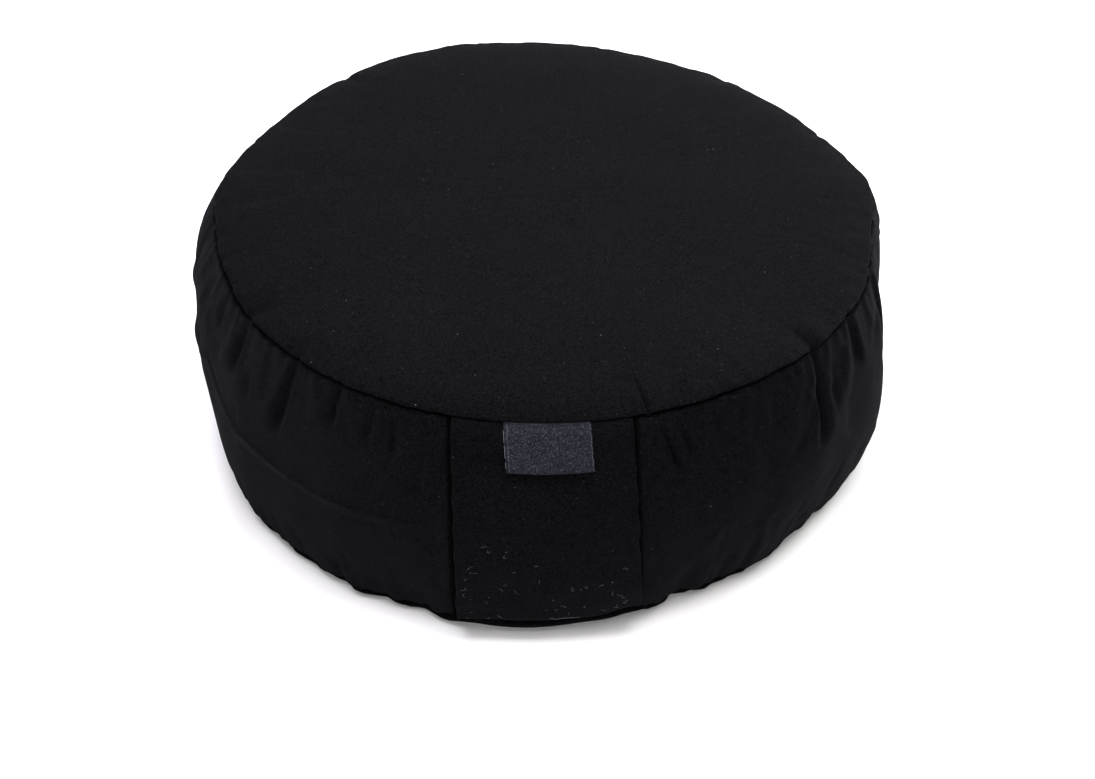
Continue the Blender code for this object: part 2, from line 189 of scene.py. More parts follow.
def length_property(name, description, default):
    return bpy.props.FloatProperty(
        name=name, description=description, default=default, min=0.0, unit="LENGTH", precision=4
    )


def colour_property(name, description, default):
    return bpy.props.FloatVectorProperty(
        name=name, description=description, default=default, size=4, min=0.0, max=1.0, subtype="COLOR"
    )


class CoverSizes(bpy.types.PropertyGroup):
    """Sizes of the filled cover."""

    seam_radius: length_property("Seam radius", "Radius of the upper seam before it is pulled in", 0.1670)
    seam_height: length_property("Seam height", "Height of the upper seam over the floor", 0.1305)
    crown_rise: length_property("Crown rise", "How far the top swells over its seam", 0.0115)
    belly_bulge: length_property("Belly bulge", "How far the side band swells", 0.0106)
    foot_radius: length_property("Foot radius", "Radius of the lower seam", 0.1724)
    foot_height: length_property("Foot height", "Height of the lower seam over the floor", 0.0060)
    base_radius: length_property("Base radius", "Radius of the flat part that stands on the floor", 0.1280)
    seam_dip: length_property("Seam depth", "How deep the sewn seams are drawn in", 0.0032)
    seam_width: length_property("Seam width", "Half width of the groove along a seam", 0.0009)
    lip_height: length_property("Lip height", "How far the opening's lip stands out", 0.0013)
    step: length_property("Mesh step", "Distance between mesh steps round the front of the cover", 0.0018)
    pressure: bpy.props.FloatProperty(name="Filling pressure", description="Pressure that fills the cloth", default=4.0)
    ease_in_cloth: bpy.props.FloatProperty(
        name="Spare cloth", description="Share by which the cloth is cut larger than its seams", default=0.035
    )
    gather_cap: length_property("Gather cap", "Most that a gather may stand out", 0.0006)


class PanelSizes(bpy.types.PropertyGroup):
    """Sizes of the strip over the front."""

    top_width: length_property("Top width", "Width of the panel at the upper seam", 0.0815)
    foot_width: length_property("Foot width", "Width of the panel at its foot", 0.0880)
    thickness: length_property("Thickness", "Thickness of the doubled strip", 0.0019)
    cloth: length_property("Cloth", "Thickness of one layer of cloth", 0.0005)
    gap: length_property("Gap", "Room left between the panel and the band", 0.0004)
    side_lift: length_property("Side lift", "How far the long sides stand off the band", 0.0010)
    foot_lift: length_property("Foot lift", "How much more they stand off towards the foot", 0.0026)


class LabelSizes(bpy.types.PropertyGroup):
    """Sizes of the folded ribbon label."""

    width: length_property("Width", "Width of the ribbon", 0.0390)
    length: length_property("Length", "Length that shows under the seam", 0.0226)
    tilt: length_property("Tilt", "How much longer its left side hangs than its middle", 0.0001)
    thickness: length_property("Thickness", "Thickness of the folded label at the seam", 0.0009)
    ribbon: length_property("Ribbon", "Thickness of the ribbon itself", 0.0003)
    end_lift: length_property("End lift", "How far its folded end stands off the panel", 0.0014)


class ClothColours(bpy.types.PropertyGroup):
    """Colours of the cloth, ribbon and lint."""

    cotton_valley: colour_property("Cotton valley", "Black between the ribs of the twill", (0.0005, 0.0005, 0.0007, 1.0))
    cotton_rib: colour_property("Cotton rib", "Black on the ribs of the twill", (0.0045, 0.0043, 0.0053, 1.0))
    # The lint colour also gives the painted highlight on the opening's lip
    lint: colour_property("Lint", "Pale lint caught in the cloth", (0.13, 0.13, 0.14, 1.0))
    lint_fibre: colour_property("Lint fibre", "Curled fibres that lie on the cloth", (0.17, 0.17, 0.18, 1.0))
    ribbon_ground: colour_property("Ribbon ground", "Dark ground of the ribbon", (0.0034, 0.0038, 0.0060, 1.0))
    ribbon_float: colour_property("Ribbon float", "Shining floats of the ribbon", (0.0470, 0.0520, 0.0670, 1.0))
    # The thread colour also gives the painted highlights along the ribbon's left edge and the panel's hem
    thread: colour_property("Thread", "Pale cut threads at the ribbon's edges", (0.24, 0.25, 0.28, 1.0))
    floor: colour_property("Floor", "Pale studio floor", (0.75, 0.75, 0.75, 1.0))


class StageSizes(bpy.types.PropertyGroup):
    """Floor, light and camera."""

    floor_radius: length_property("Floor radius", "Radius of the floor", 6.0)
    sky: bpy.props.FloatProperty(name="Room light", description="Strength of the light from all round", default=0.35)
    lens: bpy.props.FloatProperty(name="Lens", description="Focal length in millimetres", default=62.466)


class CushionSettings(bpy.types.PropertyGroup):
    """Everything that a user may change."""

    cover: bpy.props.PointerProperty(type=CoverSizes)
    panel: bpy.props.PointerProperty(type=PanelSizes)
    label: bpy.props.PointerProperty(type=LabelSizes)
    colours: bpy.props.PointerProperty(type=ClothColours)
    stage: bpy.props.PointerProperty(type=StageSizes)


# Small shape helpers


def ease(value):
    """0 to 1 with level ends."""
    share = np.clip(value, 0.0, 1.0)
    return share * share * (3.0 - 2.0 * share)


def turn_between(azimuth, centre):
    """Signed angle from centre to azimuth, in degrees."""
    return (azimuth - centre + 180.0) % 360.0 - 180.0


def bell(distance, width):
    return np.exp(-((distance / width) ** 2))


def ring_curve(azimuth, values):
    """A smooth closed curve through values spaced evenly round the ring."""
    values = np.asarray(values, float)
    count = len(values)
    place = (np.asarray(azimuth, float) % 360.0) / 360.0 * count
    first = np.floor(place).astype(int)
    t = place - first
    a, b, c, d = (values[(first + offset) % count] for offset in (-1, 0, 1, 2))
    bend = (2.0 * a - 5.0 * b + 4.0 * c - d) * t * t + (3.0 * b - a - 3.0 * c + d) * t**3
    return 0.5 * (2.0 * b + (c - a) * t + bend)


def ring_noise(azimuth, count, seed):
    """Smooth unevenness round the ring, mostly between -1 and 1."""
    return ring_curve(azimuth, np.random.RandomState(seed).uniform(-1.0, 1.0, count))


def ripple(first, second, wavelength, seed, waves=14):
    """Smooth unevenness over a surface, mostly between -1 and 1, as a sum of slanted waves."""
    random = np.random.RandomState(seed)
    total = 0.0
    for _ in range(waves):
        turn, phase = random.uniform(0.0, 2.0 * math.pi, 2)
        step = 2.0 * math.pi / (wavelength * random.uniform(0.7, 1.6))
        total = total + np.sin((first * math.cos(turn) + second * math.sin(turn)) * step + phase)
    return total / math.sqrt(waves)


def placed(azimuth, radius, height):
    turn = np.radians(azimuth)
    return np.stack(np.broadcast_arrays(radius * np.cos(turn), radius * np.sin(turn), height), -1)


# Shape of the filled cover

CROWN_SQUARENESS = 2.4
BELLY_FULLNESS = 0.8
FOOT_SQUARENESS = 2.8
CROWN_FOLD_SHARE = 0.5
CROWN_GATHER_SHARE = 0.3
SEAM_FOLD_SHARE = 0.62
FOLD_GROW = 0.006
FLARE = 0.60
STEEP_SIDE = 0.55
SOFT_SIDE = 1.35
DENT_SHARE = 0.30
RIDGE_AWAY = 1.9
RIDGE_WIDTH = 0.95
RIDGE_HIGH = 0.15
RISING_TOP = 0.5
LIP_FADE = 9.0
# Painted highlight on the lip's edge, partly paling from rubbing: how it fades in, how far above the edge it sits, and
# how wide it is
LIP_HIGHLIGHT_FADE = 40.0
LIP_HIGHLIGHT_ABOVE = 0.0002
LIP_HIGHLIGHT_WIDTH = 0.0007
LIP_SHARP = 0.0008
LIP_SOFT = 0.0026
LIP_GROOVE_AWAY = 0.0022
LIP_GROOVE_WIDTH = 0.0006
LIP_GROOVE_DEEP = 0.00015
PANEL_AZIMUTH = 270.0
PANEL_FOOT_AZIMUTH = 271.3
PANEL_FOOT_LEVEL = 0.058
PANEL_FOOT_SLANT = 0.002
PANEL_CORNER_RAISE = 0.032
PANEL_LEFT = 256.2
PANEL_RIGHT = 285.2
SHELTER_REACH = 0.0080
GAP_DEEP = 0.0052
GAP_WALL = 0.0014
GAP_LEFT = (0.0017, 0.0032)
GAP_RIGHT = (0.0018, 0.0006)
GAP_BULGE = 0.0003
BED_FILLED = 0.7
BED_FILL_AWAY = 0.010
BED_FILL_REACH = 0.020
BED_DEEP = 0.0016
FOOT_BED_DEEP = 0.0034
COVERED_DIP = 0.5
BED_REACH = 0.0075
BED_REACH_PAST_SEAM = 0.0016
PUCKER_REACH = 0.006
FOOT_SEAM_RAISE = 0.0058
FOOT_SEAM_SPREAD = 14.5
FOOT_SEAM_FADE = 3.5
FOOT_ROLL = 0.0034
FOOT_ROLL_POWER = 0.6
FOOT_ROLL_AZIMUTH = 264.0
FOOT_ROLL_SPREAD = 13.0
SEAM_WIDER = ((200.0, 22.0, 0.9), (294.0, 12.0, 0.35), (350.0, 25.0, 0.7))
# Painted shade on the cover: how much wider it runs along the seam at the sides, the fold depth that gives full shade,
# and how strongly folds are darkened
SHADE_WIDER = 1.2
FOLD_SHADE_DEPTH = 0.0044
FOLD_SHADE = 0.85
FILLING_AROUND = 300
FILLING_COARSER = 3.2
FILLING_FRAMES = 20
GATHER_SPREAD = 9.0
SHOULDER = 0.0013
SHOULDER_AWAY = 0.0026
SHOULDER_WIDTH = 0.0024


def crown_curve(sizes):
    """From the upper seam to the middle of the crown, finely sampled."""
    angle = np.linspace(0.5 * math.pi, 0.0, 3000)
    power = 2.0 / CROWN_SQUARENESS
    rise = sizes.crown_rise * np.cos(angle).clip(0.0) ** power
    return np.stack([sizes.seam_radius * np.sin(angle) ** power, sizes.seam_height + rise], 1)


def band_radius(sizes, level):
    chord = sizes.foot_radius + (sizes.seam_radius - sizes.foot_radius) * level
    return chord + sizes.belly_bulge * np.sin(math.pi * np.clip(level, 0.0, 1.0)).clip(0.0) ** BELLY_FULLNESS


def band_tall(sizes):
    return sizes.seam_height - sizes.foot_height


def band_height(sizes, level):
    return sizes.foot_height + band_tall(sizes) * level


def level_of(sizes, height):
    return (height - sizes.foot_height) / band_tall(sizes)


def foot_curve(sizes):
    """From the lower seam round to the edge of the flat base."""
    angle = np.linspace(0.0, 0.5 * math.pi, 2000)
    power = 2.0 / FOOT_SQUARENESS
    reach = (sizes.foot_radius - sizes.base_radius) * np.cos(angle).clip(0.0) ** power
    return np.stack([sizes.base_radius + reach, sizes.foot_height * (1.0 - np.sin(angle) ** power)], 1)


def lengths_along(curve):
    return np.concatenate([[0.0], np.cumsum(np.hypot(*np.diff(curve, axis=0).T))])


def march(total, spacing):
    """Places from 0 to total whose spacing follows the spacing function."""
    places = [0.0]
    while places[-1] < total:
        places.append(places[-1] + spacing(places[-1]))
    places = np.array(places)
    return places * total / places[-1]


def cover_azimuths(sizes):
    """Steps round the cover, in degrees: wider at the back, and close beside the front panel's long sides."""
    wide = math.degrees(sizes.step / sizes.seam_radius)

    def spacing(azimuth):
        beside = min(abs(turn_between(azimuth, side)) for side in (PANEL_LEFT, PANEL_RIGHT))
        back = 1.0 + 0.3 * float(ease((abs(turn_between(azimuth, FRONT)) - 80.0) / 40.0))
        return min(wide * back, 0.19 + 0.10 * max(0.0, beside - 1.6))

    return march(360.0, spacing)[:-1]


def cover_rows(sizes, fine=1.0):
    """The outer section, row by row from the middle of the crown to the middle of the base, close at the seams."""
    seam_step, growth, crown_step, band_step, base_step = 0.00030 * fine, 0.18, 0.0070, 0.0021 * fine, 0.016
    lip_step, lip_growth = 0.0007 * fine, 0.15
    crown = crown_curve(sizes)
    crown_length = lengths_along(crown)
    crown_at = march(crown_length[-1], lambda s: min(seam_step + growth * s, crown_step))
    levels = np.linspace(1.0, 0.0, 3000)
    band = np.stack([band_radius(sizes, levels), band_height(sizes, levels)], 1)
    band_length = lengths_along(band)
    total = band_length[-1]
    lip_at = total * 0.5

    def band_spacing(s):
        from_seam = seam_step + growth * min(s, total - s)
        from_lip = lip_step + lip_growth * max(0.0, abs(s - lip_at) - 0.008)
        return max(seam_step, min(from_seam, from_lip, band_step))

    band_at = march(total, band_spacing)
    foot = foot_curve(sizes)
    foot_length = lengths_along(foot)
    foot_at = march(foot_length[-1], lambda s: min(seam_step + growth * s, 0.005))
    base = np.linspace(sizes.base_radius, 0.0, max(3, round(sizes.base_radius / base_step)))[1:]
    columns = []
    for at, length, curve, part, upper, lower in (
        (crown_at[::-1], crown_length, crown, CROWN, lambda s: s, lambda s: s + total),
        (band_at[1:], band_length, band, BAND, lambda s: s, lambda s: total - s),
        (foot_at[1:], foot_length, foot, FOOT, lambda s: total + s, lambda s: s),
    ):
        radius, height = (np.interp(at, length, curve[:, axis]) for axis in (0, 1))
        columns.append((radius, height, np.full(len(at), part), upper(at), lower(at)))
    to_foot = foot_length[-1] + sizes.base_radius - base
    from_upper = total + foot_length[-1] + sizes.base_radius - base
    columns.append((base, np.zeros(len(base)), np.full(len(base), FOOT), from_upper, to_foot))
    return Rows(*(np.concatenate(column) for column in zip(*columns)))


def slump_at(azimuth):
    columns = zip(*SLUMPS)
    next(columns)
    return Slump(azimuth, *(ring_curve(azimuth, column) for column in columns))


def skewed_trough(across, width, skew):
    """1 in the trough, with a soft ridge on both sides. The side that skew points to is steep."""
    steep = np.where(across * skew > 0.0, STEEP_SIDE, SOFT_SIDE) if skew else 1.0
    own = width * steep
    ridges = RIDGE_HIGH * bell(np.abs(across) - RIDGE_AWAY * own, RIDGE_WIDTH * own)
    return bell(across, own) - ridges


def fold_push(sizes, azimuth, level):
    """How far the band's folds push inwards, in metres."""
    push = 0.0
    for fold in FOLDS:
        centre = fold.azimuth + fold.lean * (1.0 - level)
        across = np.radians(turn_between(azimuth, centre)) * sizes.seam_radius
        down = np.clip((fold.top - level) / (fold.top - fold.bottom), 0.0, 1.0)
        width = fold.width * (1.0 - FLARE + FLARE * down)
        window = (0.40 + 0.60 * down) * ease((1.0 - down) / DENT_SHARE)
        if fold.top < 1.0:
            window = window * ease(down / DENT_SHARE)
        push = push + fold.depth * window * skewed_trough(across, width, fold.skew)
    for fold in RISING_FOLDS:
        centre = fold.azimuth + fold.lean * (1.0 - level)
        across = np.radians(turn_between(azimuth, centre)) * sizes.seam_radius
        fade = RISING_TOP * (min(fold.top, 1.0) - max(fold.bottom, 0.0))
        window = ease((level - fold.bottom) / fade)
        if fold.top < 1.0:
            window = window * ease((fold.top - level) / fade)
        push = push + fold.depth * window * skewed_trough(across, fold.width, fold.skew)
    return push


def lip_level(azimuth):
    return np.interp(azimuth % 360.0, [row[0] for row in LIP_PATH], [row[1] for row in LIP_PATH])


def lip_place(sizes, azimuth, level):
    """Degrees inside the nearer end of the opening's lip, and metres over it."""
    first, last = LIP_PATH[0][0], LIP_PATH[-1][0]
    inside = (last - first) / 2.0 - np.abs(turn_between(azimuth, (first + last) / 2.0))
    return inside, (level - lip_level(azimuth)) * band_tall(sizes)


def lip_rise(sizes, azimuth, level):
    """The lapped edge of the opening: a sharp edge over a soft roll, with a groove above it."""
    inside, away = lip_place(sizes, azimuth, level)
    ridge = sizes.lip_height * bell(away, np.where(away > 0.0, LIP_SHARP, LIP_SOFT))
    groove = LIP_GROOVE_DEEP * bell(away - LIP_GROOVE_AWAY, LIP_GROOVE_WIDTH)
    return ease(inside / LIP_FADE) * (ridge - groove)


def beside_panel(settings, azimuth, level):
    """Metres from the nearer long side of the front panel, less than nothing under it, and which side that is."""
    cover, panel = settings.cover, settings.panel
    turn = turn_between(azimuth, PANEL_FOOT_AZIMUTH + (PANEL_AZIMUTH - PANEL_FOOT_AZIMUTH) * level)
    half = 0.5 * (panel.foot_width + (panel.top_width - panel.foot_width) * level)
    return np.abs(np.radians(turn)) * band_radius(cover, level) - half, np.sign(turn)


def panel_gap(settings, azimuth, level):
    """How far the band is drawn in, in the dark gap along the panel's long sides, and less under its middle."""
    away, side = beside_panel(settings, azimuth, level)
    low = (1.0 - level) ** 1.2
    left = GAP_LEFT[0] + (GAP_LEFT[1] - GAP_LEFT[0]) * low
    right = GAP_RIGHT[0] + (GAP_RIGHT[1] - GAP_RIGHT[0]) * low
    width = np.where(side < 0.0, left, right)
    inside = 1.0 - ease((away - width) / GAP_WALL)
    inside = inside * (1.0 - BED_FILLED * ease((-away - BED_FILL_AWAY) / BED_FILL_REACH))
    return GAP_DEEP * inside - GAP_BULGE * bell(away - width - 0.0035, 0.0025)


def foot_seam_raise(azimuth):
    """How far the lower seam is drawn up where the front panel is sewn into it."""
    away = np.abs(turn_between(azimuth, PANEL_FOOT_AZIMUTH))
    return FOOT_SEAM_RAISE * ease((FOOT_SEAM_SPREAD + FOOT_SEAM_FADE - away) / (2.0 * FOOT_SEAM_FADE))


def side_share(azimuth):
    """1 at the cushion's left and right sides, 0 in front and at the back."""
    return ease((np.abs(np.cos(np.radians(azimuth))) - 0.62) / 0.25)


def seam_wideness(azimuth):
    return 1.0 + sum(more * bell(turn_between(azimuth, centre), spread) for centre, spread, more in SEAM_WIDER)


def seam_dip(sizes, distance, azimuth):
    """How deep a seam is drawn in. Its groove is wider at both sides, where the filling pushes most."""
    wide = seam_wideness(azimuth)
    return sizes.seam_dip * wide * np.exp(-((distance / (sizes.seam_width * wide**0.5)) ** 1.5))


def painted_cover_shade(settings, rows, azimuth):
    """Painted shade, 0 to 1, that darkens the cloth's colour where it lies closed in: in seams, folds and creases, and
    beside the panel.
    """
    sizes = settings.cover
    azimuth = azimuth[None, :]
    radius, height, part = rows.radius[:, None], rows.height[:, None], rows.part[:, None]
    upper, lower = rows.from_upper[:, None], rows.from_lower[:, None]
    level = np.clip(level_of(sizes, height), 0.0, 1.0)
    away = beside_panel(settings, azimuth, level)[0]
    sideways = side_share(azimuth - 8.0 * np.cos(np.radians(azimuth)))
    wide = sizes.seam_width * (seam_wideness(azimuth) + SHADE_WIDER * sideways)
    seam = bell(np.where(part == FOOT, 1.0, upper), 0.85 * wide)
    seam = seam + 0.4 * bell(np.where(part == CROWN, 1.0, lower), wide)
    push = np.clip(fold_push(sizes, azimuth, level) / FOLD_SHADE_DEPTH, 0.0, 1.0) ** 1.3
    fold = FOLD_SHADE * push * ease(away / SHELTER_REACH) * np.where(part == BAND, 1.0, 0.0)
    gap = np.clip(panel_gap(settings, azimuth, level) / GAP_DEEP, 0.0, 1.0) * np.where(part == BAND, 1.0, 0.0)
    crease = 0.0
    for row in CREASES:
        across = np.radians(turn_between(azimuth, row.azimuth)) * radius
        window = ease(1.0 - (sizes.seam_radius - radius) / row.reach) * np.where(part == CROWN, 1.0, 0.0)
        crease = crease + min(1.0, row.depth / 0.003) * window * bell(across, row.width)
    return np.clip(np.maximum(np.maximum(seam, fold), np.maximum(gap, crease)), 0.0, 1.0)


def lip_highlight_and_wear(sizes, rows, azimuth):
    """Painted highlight along the edge of the opening's lip, where light catches it, with some paling from rubbing, 0
    to 1.
    """
    azimuth = azimuth[None, :]
    level = np.where(rows.part == BAND, level_of(sizes, rows.height), -1.0)[:, None]
    inside, away = lip_place(sizes, azimuth, level)
    uneven = 0.65 + 0.35 * ring_noise(azimuth, 150, 9)
    return ease(inside / LIP_HIGHLIGHT_FADE) * uneven * bell(away - LIP_HIGHLIGHT_ABOVE, LIP_HIGHLIGHT_WIDTH)


def bulge_out(azimuth, level):
    return sum(b.out * bell(turn_between(azimuth, b.azimuth), b.wide) * bell(level - b.level, b.high) for b in BULGES)


def cover_surface(settings, rows, azimuth, sewn=True, gathers=None):
    """The cover's points, as rows by azimuth by xyz. Unsewn, it has no folds, grooves or lip."""
    sizes = settings.cover
    azimuth = azimuth[None, :]
    radius, height = rows.radius[:, None], rows.height[:, None]
    part, upper, lower = rows.part[:, None], rows.from_upper[:, None], rows.from_lower[:, None]
    level = np.clip(level_of(sizes, height), 0.0, 1.0)
    slump = slump_at(azimuth)
    bare = ease(beside_panel(settings, azimuth, level)[0] / SHELTER_REACH)
    push = (fold_push(sizes, azimuth, level) if sewn else 0.0) * bare
    top_bare = ease(beside_panel(settings, azimuth, np.ones_like(azimuth))[0] / SHELTER_REACH)
    foot_bare = ease(beside_panel(settings, azimuth, np.zeros_like(azimuth))[0] / SHELTER_REACH)
    top_push = (fold_push(sizes, azimuth, np.ones_like(azimuth)) if sewn else 0.0) * top_bare
    foot_push = (fold_push(sizes, azimuth, np.zeros_like(azimuth)) if sewn else 0.0) * foot_bare

    share = radius / sizes.seam_radius
    near = np.exp(-upper / FOLD_GROW)
    crown_push = top_push * (CROWN_FOLD_SHARE + (SEAM_FOLD_SHARE - CROWN_FOLD_SHARE) * near)
    crown_out = (slump.seam_out + bulge_out(azimuth, 1.0) - crown_push * share) * share**4
    crown_up = slump.seam_up * share**3
    x, y = radius * np.cos(np.radians(azimuth)), radius * np.sin(np.radians(azimuth))
    for hollow in HOLLOWS:
        turn = math.radians(hollow.azimuth)
        away = np.hypot(x - hollow.radius * math.cos(turn), y - hollow.radius * math.sin(turn))
        crown_up = crown_up - hollow.depth * bell(away, hollow.size)
    if sewn:
        for crease in CREASES:
            across = np.radians(turn_between(azimuth, crease.azimuth)) * radius
            window = ease(1.0 - (sizes.seam_radius - radius) / crease.reach)
            crown_up = crown_up - crease.depth * window * bell(across, crease.width)
        crown_up = crown_up + 0.00020 * ripple(x, y, 0.060, 5) * ease(1.0 - share**6)

    band_out = slump.foot_out * (1.0 - level) * (1.0 - 2.0 * level) + slump.belly_out * 4.0 * level * (1.0 - level)
    band_out = band_out + slump.seam_out * level * (2.0 * level - 1.0) + bulge_out(azimuth, level)
    band_up = slump.seam_up * level
    if sewn:
        band_out = band_out + lip_rise(sizes, azimuth, level) * bare
        band_out = band_out - push * (SEAM_FOLD_SHARE + (1.0 - SEAM_FOLD_SHARE) * (1.0 - near))
        around = np.radians(azimuth) * sizes.seam_radius
        band_out = band_out + 0.00035 * ripple(around, height * 0.5, 0.030, 8) * ease(level / 0.1) * bare
        middle = ease(upper / BED_REACH) * ease(lower / BED_REACH)
        band_out = band_out - panel_gap(settings, azimuth, level) * middle

    foot_share = ease((radius - sizes.base_radius) / (sizes.foot_radius - sizes.base_radius))
    foot_out = (slump.foot_out + bulge_out(azimuth, 0.0) - foot_push) * foot_share

    out = np.where(part == CROWN, crown_out, np.where(part == BAND, band_out, foot_out))
    up = np.where(part == CROWN, crown_up, np.where(part == BAND, band_up, 0.0))
    if gathers is not None:
        kept = bare * np.where(part == CROWN, CROWN_GATHER_SHARE, 1.0)
        out = out + gathers[0] * kept
        up = up + gathers[1] * kept
    if sewn:
        low_distance = np.where(part == CROWN, 1.0, lower)
        high_distance = np.where(part == FOOT, 1.0, upper)
        away = beside_panel(settings, azimuth, np.where(part == FOOT, 0.0, level))[0]
        covered = 1.0 - ease((away - GAP_RIGHT[0]) / GAP_WALL)
        high_dip = seam_dip(sizes, high_distance, azimuth) * (1.0 - COVERED_DIP * covered)
        sideways = side_share(azimuth)
        out = out - (1.0 - 0.3 * sideways) * high_dip - seam_dip(sizes, low_distance, azimuth)
        up = up - 0.9 * sideways * high_dip
        pucker = 0.00040 * ring_noise(azimuth, 190, 3) + 0.00020 * ring_noise(azimuth, 420, 4)
        for distance in (high_distance, low_distance):
            out = out + pucker * bare * np.exp(-distance / PUCKER_REACH)
        for deep, distance, beyond in ((BED_DEEP, upper, FOOT), (FOOT_BED_DEEP, lower, CROWN)):
            bed = deep * ease(1.0 - distance / np.where(part == BAND, BED_REACH, BED_REACH_PAST_SEAM))
            out = out - bed * covered * np.where(part == beyond, 0.0, 1.0)
        lift = foot_seam_raise(azimuth)
        up = up + np.where(part == BAND, lift * (1.0 - level) ** 3, 0.0)
        low = np.clip(height / sizes.foot_height, 0.0, 1.0)
        up = up + np.where(part == FOOT, lift * low, 0.0)
        roll = FOOT_ROLL * bell(turn_between(azimuth, FOOT_ROLL_AZIMUTH), FOOT_ROLL_SPREAD)
        roll = roll * np.sin(math.pi * low**FOOT_ROLL_POWER)
        out = out + np.where(part == FOOT, roll, 0.0)
        out = out + np.where(part == CROWN, SHOULDER * bell(upper - SHOULDER_AWAY, SHOULDER_WIDTH), 0.0)
    return placed(azimuth, radius + out, height + up)


def deselect_all():
    bpy.ops.object.select_all(action="DESELECT")


def select_only(item):
    deselect_all()
    item.select_set(True)
    bpy.context.view_layer.objects.active = item


def write_points(mesh, points):
    mesh.vertices.foreach_set("co", np.ascontiguousarray(points, np.float32).ravel())
    mesh.update()


def read_points(mesh):
    points = np.empty(len(mesh.vertices) * 3, np.float32)
    mesh.vertices.foreach_get("co", points)
    return points.reshape(-1, 3).astype(float)


def write_mask(item, name, values):
    """A value from 0 to 1 at each point, for the piece's material."""
    mask = item.data.attributes.new(name, "FLOAT", "POINT")
    mask.data.foreach_set("value", values.astype(np.float32))


def numbers_of(parts, name):
    values = np.empty(len(parts), np.int32)
    parts.foreach_get(name, values)
    return values


def sphere_of_rows(name, rows, around):
    """A closed ball of the given rows, with each point's row and its azimuth's number."""
    deselect_all()
    bpy.ops.mesh.primitive_uv_sphere_add(segments=around, ring_count=len(rows.radius) - 1, radius=1.0)
    item = bpy.context.object
    item.name = item.data.name = name
    points = read_points(item.data)
    row = np.rint(np.arccos(points[:, 2].clip(-1.0, 1.0)) / math.pi * (len(rows.radius) - 1)).astype(int)
    turn = np.degrees(np.arctan2(points[:, 1], points[:, 0])) % 360.0
    column = np.rint(turn / 360.0 * around).astype(int) % around
    return item, row, column


def blend_weights(wanted, known, period=None):
    """Weights that carry values at known places to wanted ones along a smooth curve."""
    count = len(known)
    weights = np.zeros((len(wanted), count))
    for index, place in enumerate(wanted):
        if period:
            first = int(np.searchsorted(known, place, side="right")) - 1
            left, right = known[first], known[(first + 1) % count] + (period if first == count - 1 else 0.0)
        else:
            first = min(max(int(np.searchsorted(known, place, side="right")) - 1, 0), count - 2)
            left, right = known[first], known[first + 1]
        t = (place - left) / (right - left)
        cubic = (
            0.5 * (-t + 2.0 * t * t - t**3),
            0.5 * (2.0 - 5.0 * t * t + 3.0 * t**3),
            0.5 * (t + 4.0 * t * t - 3.0 * t**3),
            0.5 * (t**3 - t * t),
        )
        for offset, weight in zip((-1, 0, 1, 2), cubic):
            if period:
                weights[index, (first + offset) % count] += weight
            else:
                weights[index, min(max(first + offset, 0), count - 1)] += weight
    return weights


def simulated_gathers(settings, rows, azimuth):
    """Fills a coarser cover by cloth simulation, its seams held, and carries its gathers to the fine rows.

    The cloth is cut a little larger than its seams, so it buckles beside them as sewn cloth does.
    Only the gathers are kept: what the filling adds all round is taken out again."""
    sizes = settings.cover
    coarse = cover_rows(sizes, fine=FILLING_COARSER)
    item, row, column = sphere_of_rows("cover_being_filled", coarse, FILLING_AROUND)
    turns = np.arange(FILLING_AROUND) * 360.0 / FILLING_AROUND
    start = cover_surface(settings, coarse, turns, sewn=False)
    write_points(item.data, start[row, column])
    held = (coarse.from_upper < 1e-6) | (coarse.from_lower < 1e-6) | (coarse.height < 1e-6)
    group = item.vertex_groups.new(name="sewn")
    group.add([int(i) for i in np.flatnonzero(held[row])], 1.0, "REPLACE")
    cloth = item.modifiers.new("filling", "CLOTH")
    cloth.settings.quality = 6
    cloth.settings.mass = 0.25
    cloth.settings.tension_stiffness = cloth.settings.compression_stiffness = 12.0
    cloth.settings.shear_stiffness = 4.0
    cloth.settings.bending_stiffness = 0.15
    cloth.settings.use_pressure = True
    cloth.settings.uniform_pressure_force = sizes.pressure
    cloth.settings.shrink_min = -sizes.ease_in_cloth
    cloth.settings.vertex_group_mass = "sewn"
    cloth.settings.effector_weights.gravity = 0.0
    cloth.collision_settings.use_collision = False
    cloth.point_cache.frame_start, cloth.point_cache.frame_end = 1, FILLING_FRAMES
    scene = bpy.context.scene
    for number in range(1, FILLING_FRAMES + 1):
        scene.frame_set(number)
    select_only(item)
    bpy.ops.object.modifier_apply(modifier=cloth.name)
    filled = np.empty_like(start)
    filled[row, column] = read_points(item.data)
    filled[0], filled[-1] = filled[0].mean(0), filled[-1].mean(0)
    scene.frame_set(1)
    bpy.data.objects.remove(item, do_unlink=True)
    move = filled - start
    turn = np.radians(turns)[None, :]
    out = move[..., 0] * np.cos(turn) + move[..., 1] * np.sin(turn)
    up = move[..., 2]
    spread = np.abs(turn_between(turns[:, None], turns[None, :]))
    mean = bell(spread, GATHER_SPREAD)
    mean /= mean.sum(1, keepdims=True)
    kept = []
    for values in (out, up):
        values = values - values @ mean.T
        kept.append(sizes.gather_cap * np.tanh(values / sizes.gather_cap))
    whole = coarse.from_upper[0]
    known = np.where(coarse.part == CROWN, whole - coarse.from_upper, whole + coarse.from_upper)
    wanted = np.where(rows.part == CROWN, whole - rows.from_upper, whole + rows.from_upper)
    down = blend_weights(wanted, known)
    across = blend_weights(azimuth, turns, period=360.0)
    return [down @ values @ across.T for values in kept]


